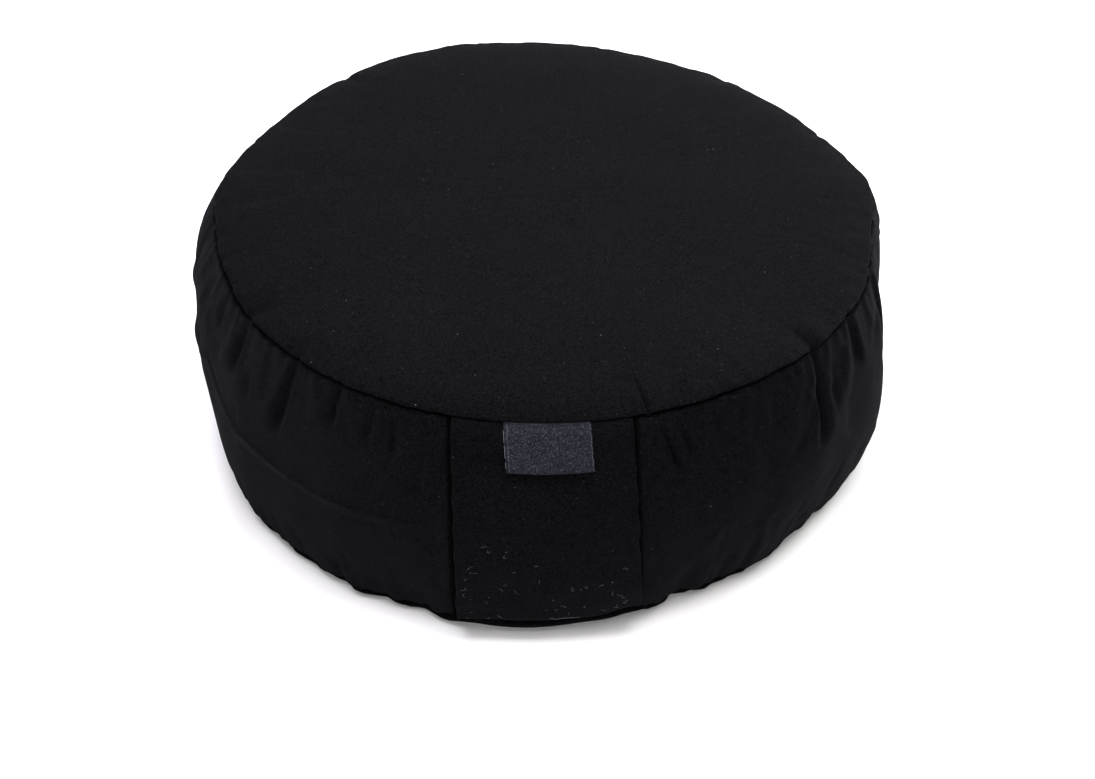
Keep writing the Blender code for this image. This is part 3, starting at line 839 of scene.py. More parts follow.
def unwrap_cover(item, row, column, rows, azimuth, sizes):
    """Lays the weave: straight across the top and the base, and round the band."""
    mesh = item.data
    loops = numbers_of(mesh.loops, "vertex_index")
    starts = numbers_of(mesh.polygons, "loop_start")
    face_of_loop = np.repeat(np.arange(len(starts)), numbers_of(mesh.polygons, "loop_total"))
    loop_row = row[loops]
    turn = (azimuth[column[loops]] - SEAM_AT_BACK) % 360.0
    turn_low = np.minimum.reduceat(turn, starts)[face_of_loop]
    turn_high = np.maximum.reduceat(turn, starts)[face_of_loop]
    turn = np.where((turn_high - turn_low > 180.0) & (turn < 180.0), turn + 360.0, turn)
    seam_row = int(np.flatnonzero(rows.part == CROWN)[-1])
    foot_row = int(np.flatnonzero(rows.part == BAND)[-1])
    deepest = np.maximum.reduceat(loop_row, starts)[face_of_loop]
    highest = np.minimum.reduceat(loop_row, starts)[face_of_loop]
    flat = (deepest <= seam_row) | (highest >= foot_row)
    total = rows.from_upper[foot_row]
    reach = np.where(rows.part == CROWN, rows.from_upper[0] - rows.from_upper, rows.from_upper[-1] - rows.from_upper)
    angle = np.radians(azimuth[column[loops]])
    u = np.where(flat, reach[loop_row] * np.cos(angle), np.radians(turn) * sizes.seam_radius)
    v = np.where(flat, reach[loop_row] * np.sin(angle), total - np.minimum(rows.from_upper[loop_row], total))
    grain = mesh.uv_layers.new(name="grain")
    grain.data.foreach_set("uv", np.stack([u, v], 1).astype(np.float32).ravel())


# Shape of the front panel and the label


def band_point(sizes, azimuth, level):
    """A point of the band as it is filled, without its folds."""
    inner = np.clip(level, 0.0, 1.0)
    slump = slump_at(azimuth)
    out = slump.foot_out * (1.0 - inner) * (1.0 - 2.0 * inner) + slump.belly_out * 4.0 * inner * (1.0 - inner)
    out = out + slump.seam_out * inner * (2.0 * inner - 1.0)
    return placed(azimuth, band_radius(sizes, level) + out, band_height(sizes, level) + slump.seam_up * inner)


def band_frame(sizes, azimuth, level):
    """A point of the unfolded band and the outward direction there."""
    here = band_point(sizes, azimuth, level)
    rise = band_point(sizes, azimuth, level + 0.01) - band_point(sizes, azimuth, level - 0.01)
    side = band_point(sizes, azimuth + 1.0, level) - here
    outward = np.cross(side, rise)
    return here, outward / np.linalg.norm(outward, axis=-1, keepdims=True)


PANEL_TUCK_REACH = 0.045
PANEL_TUCK_DEEP = 0.0024
PANEL_TOP_LEVEL = 1.004
PANEL_MEAN_HALF = 0.0425
PANEL_FACE_POINTS = 34
PANEL_FOLD_POINTS = 11
PANEL_BACK_POINTS = 18
PANEL_LINES = 150


def panel_foot(share):
    """Level of the panel's foot from its left side, -1, to its right side, 1, where it is pulled up."""
    return PANEL_FOOT_LEVEL + PANEL_FOOT_SLANT * share + PANEL_CORNER_RAISE * ease((share - 0.55) / 0.45)


def panel_surface(settings, across, level, lift):
    """A point over the band: across in metres from the panel's middle, lift in metres over its underside."""
    cover, panel = settings.cover, settings.panel
    centre = PANEL_FOOT_AZIMUTH + (PANEL_AZIMUTH - PANEL_FOOT_AZIMUTH) * level
    azimuth = centre + np.degrees(across / band_radius(cover, level))
    here, outward = band_frame(cover, azimuth, level)
    share = np.abs(across) / (0.5 * panel.top_width)
    low = np.clip(1.0 - level, 0.0, 1.0) ** 1.5
    rise = share**3 * (panel.side_lift + panel.foot_lift * low * np.where(across < 0.0, 1.15, 0.75))
    foot = panel_foot(across / (0.5 * panel.foot_width))
    tuck_top = ease((level - (PANEL_TOP_LEVEL - PANEL_TUCK_REACH)) / PANEL_TUCK_REACH)
    tuck_foot = ease((foot + PANEL_TUCK_REACH - level) / PANEL_TUCK_REACH)
    rise = rise * (1.0 - tuck_top) * (1.0 - 0.75 * tuck_foot)
    drop = PANEL_TUCK_DEEP * (tuck_top**1.5 + tuck_foot**1.5)
    wave = 0.00022 * ripple(across, level * 0.12, 0.020, 21) + 0.00045 * low * ripple(across, level * 0.12, 0.024, 22)
    pull = 0.0006 * bell(level - 0.93, 0.045) * ripple(across, level * 0.02, 0.016, 23)
    return here + outward * (panel.gap + rise - drop + lift + (wave + pull) * (1.0 - tuck_top))[..., None]


def grid_of(name, across, along):
    """A flat grid of the given numbers of points, with each point's column and row."""
    deselect_all()
    bpy.ops.mesh.primitive_grid_add(x_subdivisions=across - 1, y_subdivisions=along - 1, size=2.0)
    item = bpy.context.object
    item.name = item.data.name = name
    points = read_points(item.data)
    columns, lines = len(np.unique(points[:, 0].round(6))), len(np.unique(points[:, 1].round(6)))
    if (columns, lines) != (across, along):
        raise RuntimeError(f"the grid has {columns} by {lines} points, not {across} by {along}")
    column = np.rint((points[:, 0] + 1.0) / 2.0 * (across - 1)).astype(int)
    line = np.rint((points[:, 1] + 1.0) / 2.0 * (along - 1)).astype(int)
    return item, column, line


def apply_modifier(item, kind, **values):
    select_only(item)
    modifier = item.modifiers.new(kind.lower(), kind)
    for key, value in values.items():
        setattr(modifier, key, value)
    bpy.ops.object.modifier_apply(modifier=modifier.name)


def write_grain(item, column, line, u, v):
    """Gives a grid its weave coordinates, in metres of cloth."""
    mesh = item.data
    loops = numbers_of(mesh.loops, "vertex_index")
    grain = mesh.uv_layers.get("grain") or mesh.uv_layers.new(name="grain")
    grain.data.foreach_set("uv", np.stack([u[column[loops]], v[line[loops]]], 1).astype(np.float32).ravel())
    for layer in [other for other in mesh.uv_layers if other.name != "grain"]:
        mesh.uv_layers.remove(layer)


# Materials


def new_group(name, inputs, outputs):
    """A shader node group with named sockets. Inputs are (name, kind, default)."""
    old = bpy.data.node_groups.get(name)
    if old:
        bpy.data.node_groups.remove(old)
    group = bpy.data.node_groups.new(name, "ShaderNodeTree")
    for socket, kind, default in inputs:
        made = group.interface.new_socket(name=socket, in_out="INPUT", socket_type=kind)
        if default is not None:
            made.default_value = default
    for socket, kind in outputs:
        group.interface.new_socket(name=socket, in_out="OUTPUT", socket_type=kind)
    return group, group.nodes.new("NodeGroupInput"), group.nodes.new("NodeGroupOutput")


class Wiring:
    """Short ways to add and join nodes in one tree."""

    def __init__(self, tree):
        self.tree = tree

    def node(self, kind, settings=None, **inputs):
        made = self.tree.nodes.new(kind)
        for key, value in (settings or {}).items():
            setattr(made, key, value)
        for key, value in inputs.items():
            self.feed(made.inputs[key.replace("_", " ")], value)
        return made

    def feed(self, socket, value):
        if isinstance(value, bpy.types.NodeSocket):
            self.tree.links.new(value, socket)
        else:
            socket.default_value = value

    def math(self, operation, *values, clamp=False):
        made = self.tree.nodes.new("ShaderNodeMath")
        made.operation = operation
        made.use_clamp = clamp
        for socket, value in zip(made.inputs, values):
            self.feed(socket, value)
        return made.outputs[0]

    def mix(self, share, first, second):
        made = self.tree.nodes.new("ShaderNodeMix")
        made.data_type = "RGBA"
        sockets = [s for s in made.inputs if s.enabled]
        for socket, value in zip(sockets, (share, first, second)):
            self.feed(socket, value)
        return next(s for s in made.outputs if s.enabled)

    def scaled(self, vector, factor):
        made = self.tree.nodes.new("ShaderNodeVectorMath")
        made.operation = "MULTIPLY"
        self.feed(made.inputs[0], vector)
        self.feed(made.inputs[1], factor)
        return made.outputs[0]


def weave_group():
    """Twill: slanted ribs, each made of short floats, with slightly uneven yarns."""
    group, source, result = new_group(
        "twill_weave",
        [("Vector", "NodeSocketVector", None), ("Pitch", "NodeSocketFloat", 0.0008), ("Slant", "NodeSocketFloat", 1.0)],
        [("Height", "NodeSocketFloat"), ("Yarn", "NodeSocketFloat")],
    )
    w = Wiring(group)
    split = w.node("ShaderNodeSeparateXYZ", Vector=source.outputs["Vector"])
    u = w.math("DIVIDE", split.outputs["X"], source.outputs["Pitch"])
    v = w.math("DIVIDE", split.outputs["Y"], source.outputs["Pitch"])
    uneven = w.node(
        "ShaderNodeTexNoise", {"noise_dimensions": "2D"},
        Vector=source.outputs["Vector"], Scale=420.0, Detail=2.0, Roughness=0.6,
    ).outputs["Fac"]
    shift = w.math("MULTIPLY", w.math("SUBTRACT", uneven, 0.5), 0.9)
    slanted = w.math("ADD", w.math("ADD", u, w.math("MULTIPLY", v, source.outputs["Slant"])), shift)
    rib = w.math("ABSOLUTE", w.math("SINE", w.math("MULTIPLY", slanted, math.pi)))
    across = w.math("ADD", v, w.math("MULTIPLY", u, -0.5))
    float_part = w.math("ABSOLUTE", w.math("SINE", w.math("MULTIPLY", across, math.pi)))
    float_height = w.math("ADD", w.math("MULTIPLY", float_part, 0.45), 0.55)
    height = w.math("MULTIPLY", w.math("POWER", rib, 0.8), float_height)
    along = w.scaled(source.outputs["Vector"], (90.0, 2600.0, 1.0))
    flat = {"noise_dimensions": "2D"}
    slub = w.node("ShaderNodeTexNoise", flat, Vector=along, Scale=1.0, Detail=1.0).outputs["Fac"]
    w.feed(result.inputs["Height"], height)
    w.feed(result.inputs["Yarn"], slub)
    return group


def lint_group():
    """Small pale specks caught in the cloth, thinly scattered."""
    group, source, result = new_group(
        "caught_lint",
        [("Vector", "NodeSocketVector", None), ("Cell", "NodeSocketFloat", 0.004), ("Size", "NodeSocketFloat", 0.05),
         ("Share", "NodeSocketFloat", 0.5)],
        [("Mask", "NodeSocketFloat")],
    )
    w = Wiring(group)
    scale = w.math("DIVIDE", 1.0, source.outputs["Cell"])
    cells = w.node("ShaderNodeTexVoronoi", {"feature": "F1"}, Vector=source.outputs["Vector"], Scale=scale, Randomness=1.0)
    luck = w.node("ShaderNodeSeparateColor", Color=cells.outputs["Color"])
    size = w.math("MULTIPLY", source.outputs["Size"], w.math("ADD", luck.outputs["Green"], 0.35))
    inside = w.math("SUBTRACT", 1.0, w.math("DIVIDE", cells.outputs["Distance"], size), clamp=True)
    chosen = w.math("LESS_THAN", luck.outputs["Red"], source.outputs["Share"])
    bright = w.math("ADD", w.math("MULTIPLY", luck.outputs["Blue"], 0.8), 0.2)
    speck = w.math("MULTIPLY", w.math("POWER", inside, 0.5), chosen)
    w.feed(result.inputs["Mask"], w.math("MULTIPLY", speck, bright))
    return group


def unevenness_group():
    """Soft patches of lighter and darker cloth, as dye and handling leave."""
    group, source, result = new_group(
        "uneven_dye",
        [("Vector", "NodeSocketVector", None), ("Patch", "NodeSocketFloat", 0.05), ("Grain", "NodeSocketFloat", 0.003)],
        [("Patches", "NodeSocketFloat"), ("Grain", "NodeSocketFloat")],
    )
    w = Wiring(group)
    patch_scale = w.math("DIVIDE", 1.0, source.outputs["Patch"])
    grain_scale = w.math("DIVIDE", 1.0, source.outputs["Grain"])
    patches = w.node("ShaderNodeTexNoise", Vector=source.outputs["Vector"], Scale=patch_scale, Detail=3.0, Roughness=0.55)
    grains = w.node("ShaderNodeTexNoise", Vector=source.outputs["Vector"], Scale=grain_scale, Detail=2.0, Roughness=0.6)
    w.feed(result.inputs["Patches"], patches.outputs["Fac"])
    w.feed(result.inputs["Grain"], grains.outputs["Fac"])
    return group


def placed_group(w, group, **inputs):
    made = w.tree.nodes.new("ShaderNodeGroup")
    made.node_tree = group
    for key, value in inputs.items():
        w.feed(made.inputs[key], value)
    return made


def plain_shader(name, roughness, specular):
    material = bpy.data.materials.new(name)
    material.use_nodes = True
    shader = material.node_tree.nodes["Principled BSDF"]
    shader.inputs["Roughness"].default_value = roughness
    shader.inputs["Specular IOR Level"].default_value = specular
    return material, shader, Wiring(material.node_tree)


def spread_of(w, value, low, high):
    """A 0 to 1 value spread between low and high."""
    made = w.node("ShaderNodeMapRange", Value=value)
    made.inputs["From Min"].default_value = 0.3
    made.inputs["From Max"].default_value = 0.7
    made.inputs["To Min"].default_value = low
    made.inputs["To Max"].default_value = high
    return made.outputs["Result"]


def cotton_material(name, colours, groups):
    """Matt black cotton twill with a cool bloom at grazing angles."""
    material, shader, w = plain_shader(name, 0.9, 0.015)
    shader.inputs["Sheen Weight"].default_value = 0.012
    shader.inputs["Sheen Roughness"].default_value = 0.32
    shader.inputs["Sheen Tint"].default_value = (0.86, 0.84, 1.0, 1.0)
    grain = w.node("ShaderNodeUVMap", {"uv_map": "grain"}).outputs["UV"]
    place = w.node("ShaderNodeTexCoord").outputs["Object"]
    weave = placed_group(w, groups["weave"], Vector=grain, Pitch=0.00085, Slant=1.0)
    lint = placed_group(w, groups["lint"], Vector=place, Cell=0.0045, Size=0.070, Share=0.50)
    dust = placed_group(w, groups["lint"], Vector=place, Cell=0.0022, Size=0.17, Share=0.35)
    dye = placed_group(w, groups["dye"], Vector=place, Patch=0.045, Grain=0.0009)
    yarn = spread_of(w, weave.outputs["Yarn"], 0.75, 1.25)
    lit = w.math("MULTIPLY", weave.outputs["Height"], yarn)
    lit = w.math("MULTIPLY", lit, spread_of(w, dye.outputs["Grain"], -0.3, 2.3))
    mottle = placed_group(w, groups["dye"], Vector=place, Patch=0.0065, Grain=0.0026)
    lit = w.math("MULTIPLY", lit, spread_of(w, mottle.outputs["Grain"], 0.70, 1.30))
    lit = w.math("MULTIPLY", lit, spread_of(w, dye.outputs["Patches"], 0.88, 1.12), clamp=True)
    # Painted shade: the shade mask darkens the weave's colour in seams, folds, creases, beside the panel and under the
    # label
    closed = w.node("ShaderNodeAttribute", {"attribute_name": "shade"}).outputs["Fac"]
    lit = w.math("MULTIPLY", lit, w.math("SUBTRACT", 1.0, closed))
    base = w.mix(lit, tuple(colours.cotton_valley), tuple(colours.cotton_rib))
    pale = w.math("ADD", lint.outputs["Mask"], w.math("MULTIPLY", dust.outputs["Mask"], 0.15), clamp=True)
    # Painted highlight on the lip's edge, partly paling from rubbing: mixed a little towards the lint colour
    edge_highlight_and_wear = w.node("ShaderNodeAttribute", {"attribute_name": "painted_highlight_and_wear"}).outputs["Fac"]
    pale = w.math("ADD", w.math("MULTIPLY", pale, 0.8), w.math("MULTIPLY", edge_highlight_and_wear, 0.10), clamp=True)
    base = w.mix(pale, base, tuple(colours.lint))
    w.feed(shader.inputs["Base Color"], base)
    w.feed(shader.inputs["Roughness"], spread_of(w, weave.outputs["Height"], 0.96, 0.84))
    rough = w.math("ADD", weave.outputs["Height"], w.math("MULTIPLY", dye.outputs["Grain"], 0.9))
    bump = w.node("ShaderNodeBump", Height=rough, Strength=0.75, Distance=0.00032)
    w.feed(shader.inputs["Normal"], bump.outputs["Normal"])
    return material


def ribbon_material(colours, groups):
    """Dark satin ribbon with fine slanted floats."""
    material, shader, w = plain_shader("navy_satin_ribbon", 0.6, 0.03)
    shader.inputs["Sheen Weight"].default_value = 0.04
    shader.inputs["Sheen Roughness"].default_value = 0.35
    grain = w.node("ShaderNodeUVMap", {"uv_map": "grain"}).outputs["UV"]
    place = w.node("ShaderNodeTexCoord").outputs["Object"]
    weave = placed_group(w, groups["weave"], Vector=grain, Pitch=0.00062, Slant=-1.0)
    dye = placed_group(w, groups["dye"], Vector=place, Patch=0.012, Grain=0.0006)
    fleck = placed_group(w, groups["lint"], Vector=place, Cell=0.00055, Size=0.75, Share=0.55)
    fine = spread_of(w, dye.outputs["Grain"], 0.0, 0.4)
    speckle = w.math("ADD", w.math("MULTIPLY", fleck.outputs["Mask"], 1.5), fine)
    lit = w.math("MULTIPLY", weave.outputs["Height"], speckle)
    lit = w.math("MULTIPLY", lit, spread_of(w, dye.outputs["Patches"], 0.7, 1.0), clamp=True)
    base = w.mix(lit, tuple(colours.ribbon_ground), tuple(colours.ribbon_float))
    w.feed(shader.inputs["Base Color"], base)
    w.feed(shader.inputs["Roughness"], spread_of(w, weave.outputs["Height"], 0.72, 0.56))
    rough = w.math("ADD", weave.outputs["Height"], w.math("MULTIPLY", dye.outputs["Grain"], 0.5))
    bump = w.node("ShaderNodeBump", Height=rough, Strength=0.5, Distance=0.00012)
    w.feed(shader.inputs["Normal"], bump.outputs["Normal"])
    return material


def thread_material(name, colour, groups):
    """Pale cotton fibre."""
    material, shader, w = plain_shader(name, 0.9, 0.2)
    place = w.node("ShaderNodeTexCoord").outputs["Object"]
    dye = placed_group(w, groups["dye"], Vector=place, Patch=0.004, Grain=0.0004)
    darker = tuple(0.45 * value for value in colour[:3]) + (1.0,)
    w.feed(shader.inputs["Base Color"], w.mix(spread_of(w, dye.outputs["Patches"], 0.1, 1.0), darker, tuple(colour)))
    w.feed(shader.inputs["Roughness"], spread_of(w, dye.outputs["Grain"], 0.8, 0.95))
    return material


def floor_material(colours):
    """Pale seamless paper, with a painted tint of the lights: a little cooler on the left and warmer on the right."""
    material, shader, w = plain_shader("studio_floor", 1.0, 0.0)
    place = w.node("ShaderNodeTexCoord").outputs["Object"]
    split = w.node("ShaderNodeSeparateXYZ", Vector=place)
    side = w.node("ShaderNodeMapRange", Value=split.outputs["X"])
    side.inputs["From Min"].default_value = -0.30
    side.inputs["From Max"].default_value = 0.30
    # Painted light tint: the left of the floor is cooled, as the left light is
    cool = tuple(value * shift for value, shift in zip(colours.floor, (0.985, 0.975, 1.0, 1.0)))
    w.feed(shader.inputs["Base Color"], w.mix(side.outputs["Result"], cool, tuple(colours.floor)))
    return material


def material_for(settings, name):
    """The named finish, made the first time that it is asked for."""
    made = bpy.data.materials.get(name)
    if made:
        return made
    kinds = (("weave", "twill_weave"), ("lint", "caught_lint"), ("dye", "uneven_dye"))
    groups = {key: bpy.data.node_groups.get(group) for key, group in kinds}
    if not all(groups.values()):
        groups = {"weave": weave_group(), "lint": lint_group(), "dye": unevenness_group()}
    colours = settings.colours
    if name == "black_cotton_twill":
        return cotton_material(name, colours, groups)
    if name == "navy_satin_ribbon":
        return ribbon_material(colours, groups)
    if name == "pale_cut_thread":
        return thread_material(name, colours.thread, groups)
    if name == "pale_lint":
        return thread_material(name, colours.lint_fibre, groups)
    return floor_material(colours)


def finish_piece(item, material, node=None):
    """Dresses a finished piece and puts it on the root body."""
    item.data.materials.clear()
    item.data.materials.append(material)
    item.data.shade_smooth()
    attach(item, "root")
    if node:
        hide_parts(node)


def settings_of(context):
    return context.scene.zafu_cushion


class ZAFU_OT_cover(bpy.types.Operator):
    """Sew and fill the round cover: top, side band with its lapped opening, and base"""

    bl_idname = "zafu.cover"
    bl_label = "Filled cover"

    def execute(self, context):
        settings = settings_of(context)
        sizes = settings.cover
        rows = cover_rows(sizes)
        azimuth = cover_azimuths(sizes)
        gathers = simulated_gathers(settings, rows, azimuth)
        item, row, column = sphere_of_rows("cushion_cover", rows, len(azimuth))
        points = cover_surface(settings, rows, azimuth, gathers=gathers)
        points[0], points[-1] = points[0].mean(0), points[-1].mean(0)
        write_points(item.data, points[row, column])
        # Painted shade in the seams, folds, creases and beside the panel
        write_mask(item, "shade", painted_cover_shade(settings, rows, azimuth)[row, column])
        # Painted highlight on the lip's edge, partly paling from rubbing
        write_mask(item, "painted_highlight_and_wear", lip_highlight_and_wear(sizes, rows, azimuth)[row, column])
        for layer in list(item.data.uv_layers):
            item.data.uv_layers.remove(layer)
        unwrap_cover(item, row, column, rows, azimuth, sizes)
        finish_piece(item, material_for(settings, "black_cotton_twill"), "cushion_body")
        return {"FINISHED"}


class ZAFU_OT_front_panel(bpy.types.Operator):
    """Lay the doubled strip of cloth over the front of the band"""

    bl_idname = "zafu.front_panel"
    bl_label = "Front panel"

    def execute(self, context):
        settings = settings_of(context)
        panel = settings.panel
        loft = 0.5 * (panel.thickness - panel.cloth)
        fold = 0.5 * math.pi * (1.0 - np.cos(np.linspace(0.0, math.pi, PANEL_FOLD_POINTS + 2)))
        face, back = np.linspace(0.0, 1.0, PANEL_FACE_POINTS), np.linspace(1.0, 0.0, PANEL_BACK_POINTS)
        reach = np.concatenate([face, np.ones(PANEL_FOLD_POINTS), back])
        turn = np.concatenate([np.zeros(PANEL_FACE_POINTS), fold[1:-1], np.full(PANEL_BACK_POINTS, math.pi)])
        reach = np.concatenate([-reach[:0:-1], reach])
        turn = np.concatenate([turn[:0:-1], turn])
        side = np.sign(reach)
        item, column, line = grid_of("front_panel_cloth", len(reach), PANEL_LINES)
        foot = panel_foot(reach[column])
        level = foot + (PANEL_TOP_LEVEL - foot) * line / (PANEL_LINES - 1.0)
        half = 0.5 * (panel.foot_width + (panel.top_width - panel.foot_width) * level)
        edge = 0.00025 * ripple(level * 0.12, side[column] * 0.1, 0.018, 31)
        across = reach[column] * (half - loft + edge) + side[column] * loft * np.sin(turn[column])
        lift = 0.5 * panel.cloth + loft * (1.0 + np.cos(turn[column]))
        write_points(item.data, panel_surface(settings, across, level, lift))
        # Painted shadow under the label and beside its left edge, carried in the panel's shade mask
        write_mask(item, "shade", label_painted_shadow(settings, across, level))
        length = (PANEL_TOP_LEVEL - PANEL_FOOT_LEVEL) * band_tall(settings.cover)
        steps = np.hypot(np.diff(reach * PANEL_MEAN_HALF), np.diff(turn) * loft)
        path = np.concatenate([[0.0], np.cumsum(steps)])
        write_grain(item, column, line, path, np.linspace(0.0, length, PANEL_LINES))
        apply_modifier(item, "SOLIDIFY", thickness=panel.cloth, offset=0.0, use_even_offset=True)
        finish_piece(item, material_for(settings, "black_cotton_twill"), "front_panel")
        return {"FINISHED"}


class ZAFU_OT_label(bpy.types.Operator):
    """Fold the ribbon label and sew it into the upper seam, with its cut threads and the pale threads that paint the
    light on its left edge
    """

    bl_idname = "zafu.label"
    bl_label = "Ribbon label"

    def execute(self, context):
        settings = settings_of(context)
        label = settings.label
        straight = np.linspace(0.0, 1.0, LABEL_FACE_POINTS)
        fold = np.linspace(0.0, math.pi, LABEL_FOLD_POINTS + 2)[1:-1]
        down = np.concatenate([straight, np.ones(LABEL_FOLD_POINTS), straight[::-1]])
        turn = np.concatenate([np.zeros(LABEL_FACE_POINTS), fold, np.full(LABEL_FACE_POINTS, math.pi)])
        item, column, line = grid_of("label_ribbon_cloth", LABEL_COLUMNS, len(down))
        share = np.linspace(-1.0, 1.0, LABEL_COLUMNS)[column]
        hang, around = down[line], turn[line]
        near = 0.5 * (label.thickness - label.ribbon)
        half_gap = near + LABEL_SPREAD * hang**6
        length = hang * label_length(label, share) + half_gap * np.sin(around)
        across, level, lift = label_place(settings, share, hang, length)
        lift = lift + half_gap * (1.0 + np.cos(around))
        lift = lift + 0.00012 * ripple(across, length, 0.012, 41) * hang
        write_points(item.data, panel_surface(settings, across, level, lift))
        upward = label.length * (2.0 - straight[::-1]) + 0.001
        path = np.concatenate([straight * label.length, label.length + fold * near, upward])
        write_grain(item, column, line, np.linspace(0.0, label.width, LABEL_COLUMNS), path)
        apply_modifier(item, "SOLIDIFY", thickness=label.ribbon, offset=0.0, use_even_offset=True)
        finish_piece(item, material_for(settings, "navy_satin_ribbon"), "label")
        threads = self.cut_threads(settings)
        return {"FINISHED"}

    def cut_threads(self, settings):
        """Short pale threads along both cut edges of the ribbon, and pale threads along its left edge that paint the
        highlight where its folded edge catches light.
        """
        random = np.random.RandomState(12)
        paths = []
        for side, inset in ((-1.0, 0.07), (1.0, 0.03)):
            for hang in np.arange(0.06, 0.97, 0.030):
                start = side * (1.0 - inset - 0.02 * random.rand())
                share = np.linspace(start, start + side * 0.028 * random.rand(), 4)
                drift = hang + np.linspace(0.0, random.uniform(0.004, 0.020), 4)
                paths.append(self.thread_path(settings, share, drift, 0.00018 * random.rand()))
        # Painted highlight: pale threads along the ribbon's folded left edge, where light catches it
        for low, high in ((0.16, 0.40), (0.44, 0.72), (0.80, 0.93)):
            paths.append(self.thread_path(settings, np.full(9, -1.008), np.linspace(low, high, 9), 0.0))
        item = fibres("label_cut_threads_and_edge_highlight", paths, THREAD_THICKNESS)
        finish_piece(item, material_for(settings, "pale_cut_thread"))
        return item

    def thread_path(self, settings, share, hang, raised):
        """A path over the ribbon's front: share of its half width, share of its length, and metres over it."""
        label = settings.label
        across, level, lift = label_place(settings, share, hang, hang * label_length(label, share))
        lift = lift + label.thickness + raised + 2.0 * LABEL_SPREAD * hang**6
        return panel_surface(settings, across, level, lift)


LABEL_ACROSS = 0.0021
LABEL_DRIFT = 0.0009
LABEL_SAG = 0.0006
LABEL_TOP_LEVEL = 1.008
LABEL_SLOPE = 0.9
LABEL_OFF_PANEL = 0.0003
LABEL_SPREAD = 0.00045
LABEL_COLUMNS = 41
LABEL_FACE_POINTS = 26
LABEL_FOLD_POINTS = 9
THREAD_THICKNESS = 0.00013


def label_length(label, share):
    """How far the ribbon hangs at a share of its half width: a little further in the middle."""
    return label.length - label.tilt * share + LABEL_SAG * (1.0 - share**2)


def label_place(settings, share, hang, length):
    """Across, level and lift of the ribbon's back, at a share of its half width and of its length."""
    label = settings.label
    across = LABEL_ACROSS + LABEL_DRIFT * hang + 0.5 * share * label.width
    level = LABEL_TOP_LEVEL - length / band_tall(settings.cover) * LABEL_SLOPE
    curl = label.end_lift * hang**2 * (1.0 + 0.35 * share**2 - 0.25 * share)
    return across, level, settings.panel.thickness + LABEL_OFF_PANEL + curl


def label_painted_shadow(settings, across, level):
    """Painted shadow on the panel, 0 to 1, under the ribbon's folded end and beside its left edge."""
    label, tall = settings.label, band_tall(settings.cover)
    share = np.clip((across - LABEL_ACROSS - LABEL_DRIFT) / (0.5 * label.width), -1.2, 1.2)
    under = (LABEL_TOP_LEVEL - level) * tall / LABEL_SLOPE - label_length(label, share)
    beside = (np.abs(share) - 1.0) * 0.5 * label.width
    strip = bell(under - 0.0006, 0.0013) * (1.0 - ease(beside / 0.0012))
    left = 0.5 * bell(beside, 0.0042) * bell(under + 0.0040, 0.0060) * (share < 0.0)
    return np.clip(np.maximum(strip, left), 0.0, 1.0)


def fibres(name, paths, thickness):
    """Thin fibres along short paths, as one mesh."""
    curve = bpy.data.curves.new(name, "CURVE")
    curve.dimensions = "3D"
    curve.bevel_depth = 0.5 * thickness
    curve.bevel_resolution = 0
    curve.use_fill_caps = True
    for path in paths:
        spline = curve.splines.new("POLY")
        spline.points.add(len(path) - 1)
        spline.points.foreach_set("co", np.column_stack([path, np.ones(len(path))]).ravel())
    item = bpy.data.objects.new(name, curve)
    bpy.context.scene.collection.objects.link(item)
    select_only(item)
    bpy.ops.object.convert(target="MESH")
    return bpy.context.object


LINT_COUNT = 42
LINT_POINTS = 8
LINT_THICKNESS = 0.00010
HEM_THREAD_THICKNESS = 0.00026
HEM_THREAD_POINTS = 30

# Pale threads along the panel's hem that paint the light line on its folded edge: from and to in metres from its
# middle, and height over its foot
HEM_HIGHLIGHT_THREADS = ((-0.026, -0.009, 0.0006), (-0.014, 0.006, 0.0012), (-0.001, 0.021, 0.0004), (0.009, 0.033, 0.0013))


class ZAFU_OT_lint(bpy.types.Operator):
    """Scatter a few curled lint fibres on the cloth, most of them low on the front panel"""

    bl_idname = "zafu.lint"
    bl_label = "Lint fibres"

    def execute(self, context):
        settings = settings_of(context)
        random = np.random.RandomState(77)
        tall = band_tall(settings.cover)
        paths = []
        for _ in range(LINT_COUNT):
            across = random.uniform(-0.040, 0.036)
            level = 0.10 + 0.42 * random.rand() ** 1.6
            turn, bend = random.uniform(0.0, 2.0 * math.pi), random.uniform(-5.5, 5.5)
            length = random.uniform(0.0010, 0.0046)
            steps = np.linspace(0.0, 1.0, LINT_POINTS)
            heading = turn + bend * steps
            x = np.cumsum(np.cos(heading)) / LINT_POINTS * length
            y = np.cumsum(np.sin(heading)) / LINT_POINTS * length
            lift = settings.panel.thickness + 0.0002 + 0.00035 * np.sin(steps * math.pi) * random.rand()
            paths.append(panel_surface(settings, across + x, level + y / tall, lift))
        lint = fibres("lint_fibres", paths, LINT_THICKNESS)
        finish_piece(lint, material_for(settings, "pale_lint"))
        # Painted highlight: pale threads that draw the light line along the panel's hem
        paths = []
        for left, right, raised in HEM_HIGHLIGHT_THREADS:
            x = np.linspace(left, right, HEM_THREAD_POINTS)
            uneven = 0.00025 * ripple(x, raised, 0.009, 51)
            level = panel_foot(x / (0.5 * settings.panel.foot_width)) + (raised + uneven) / tall
            lift = np.full(HEM_THREAD_POINTS, settings.panel.thickness + 0.0001)
            paths.append(panel_surface(settings, x, level, lift))
        threads = fibres("hem_highlight_threads", paths, HEM_THREAD_THICKNESS)
        finish_piece(threads, material_for(settings, "pale_cut_thread"))
        return {"FINISHED"}


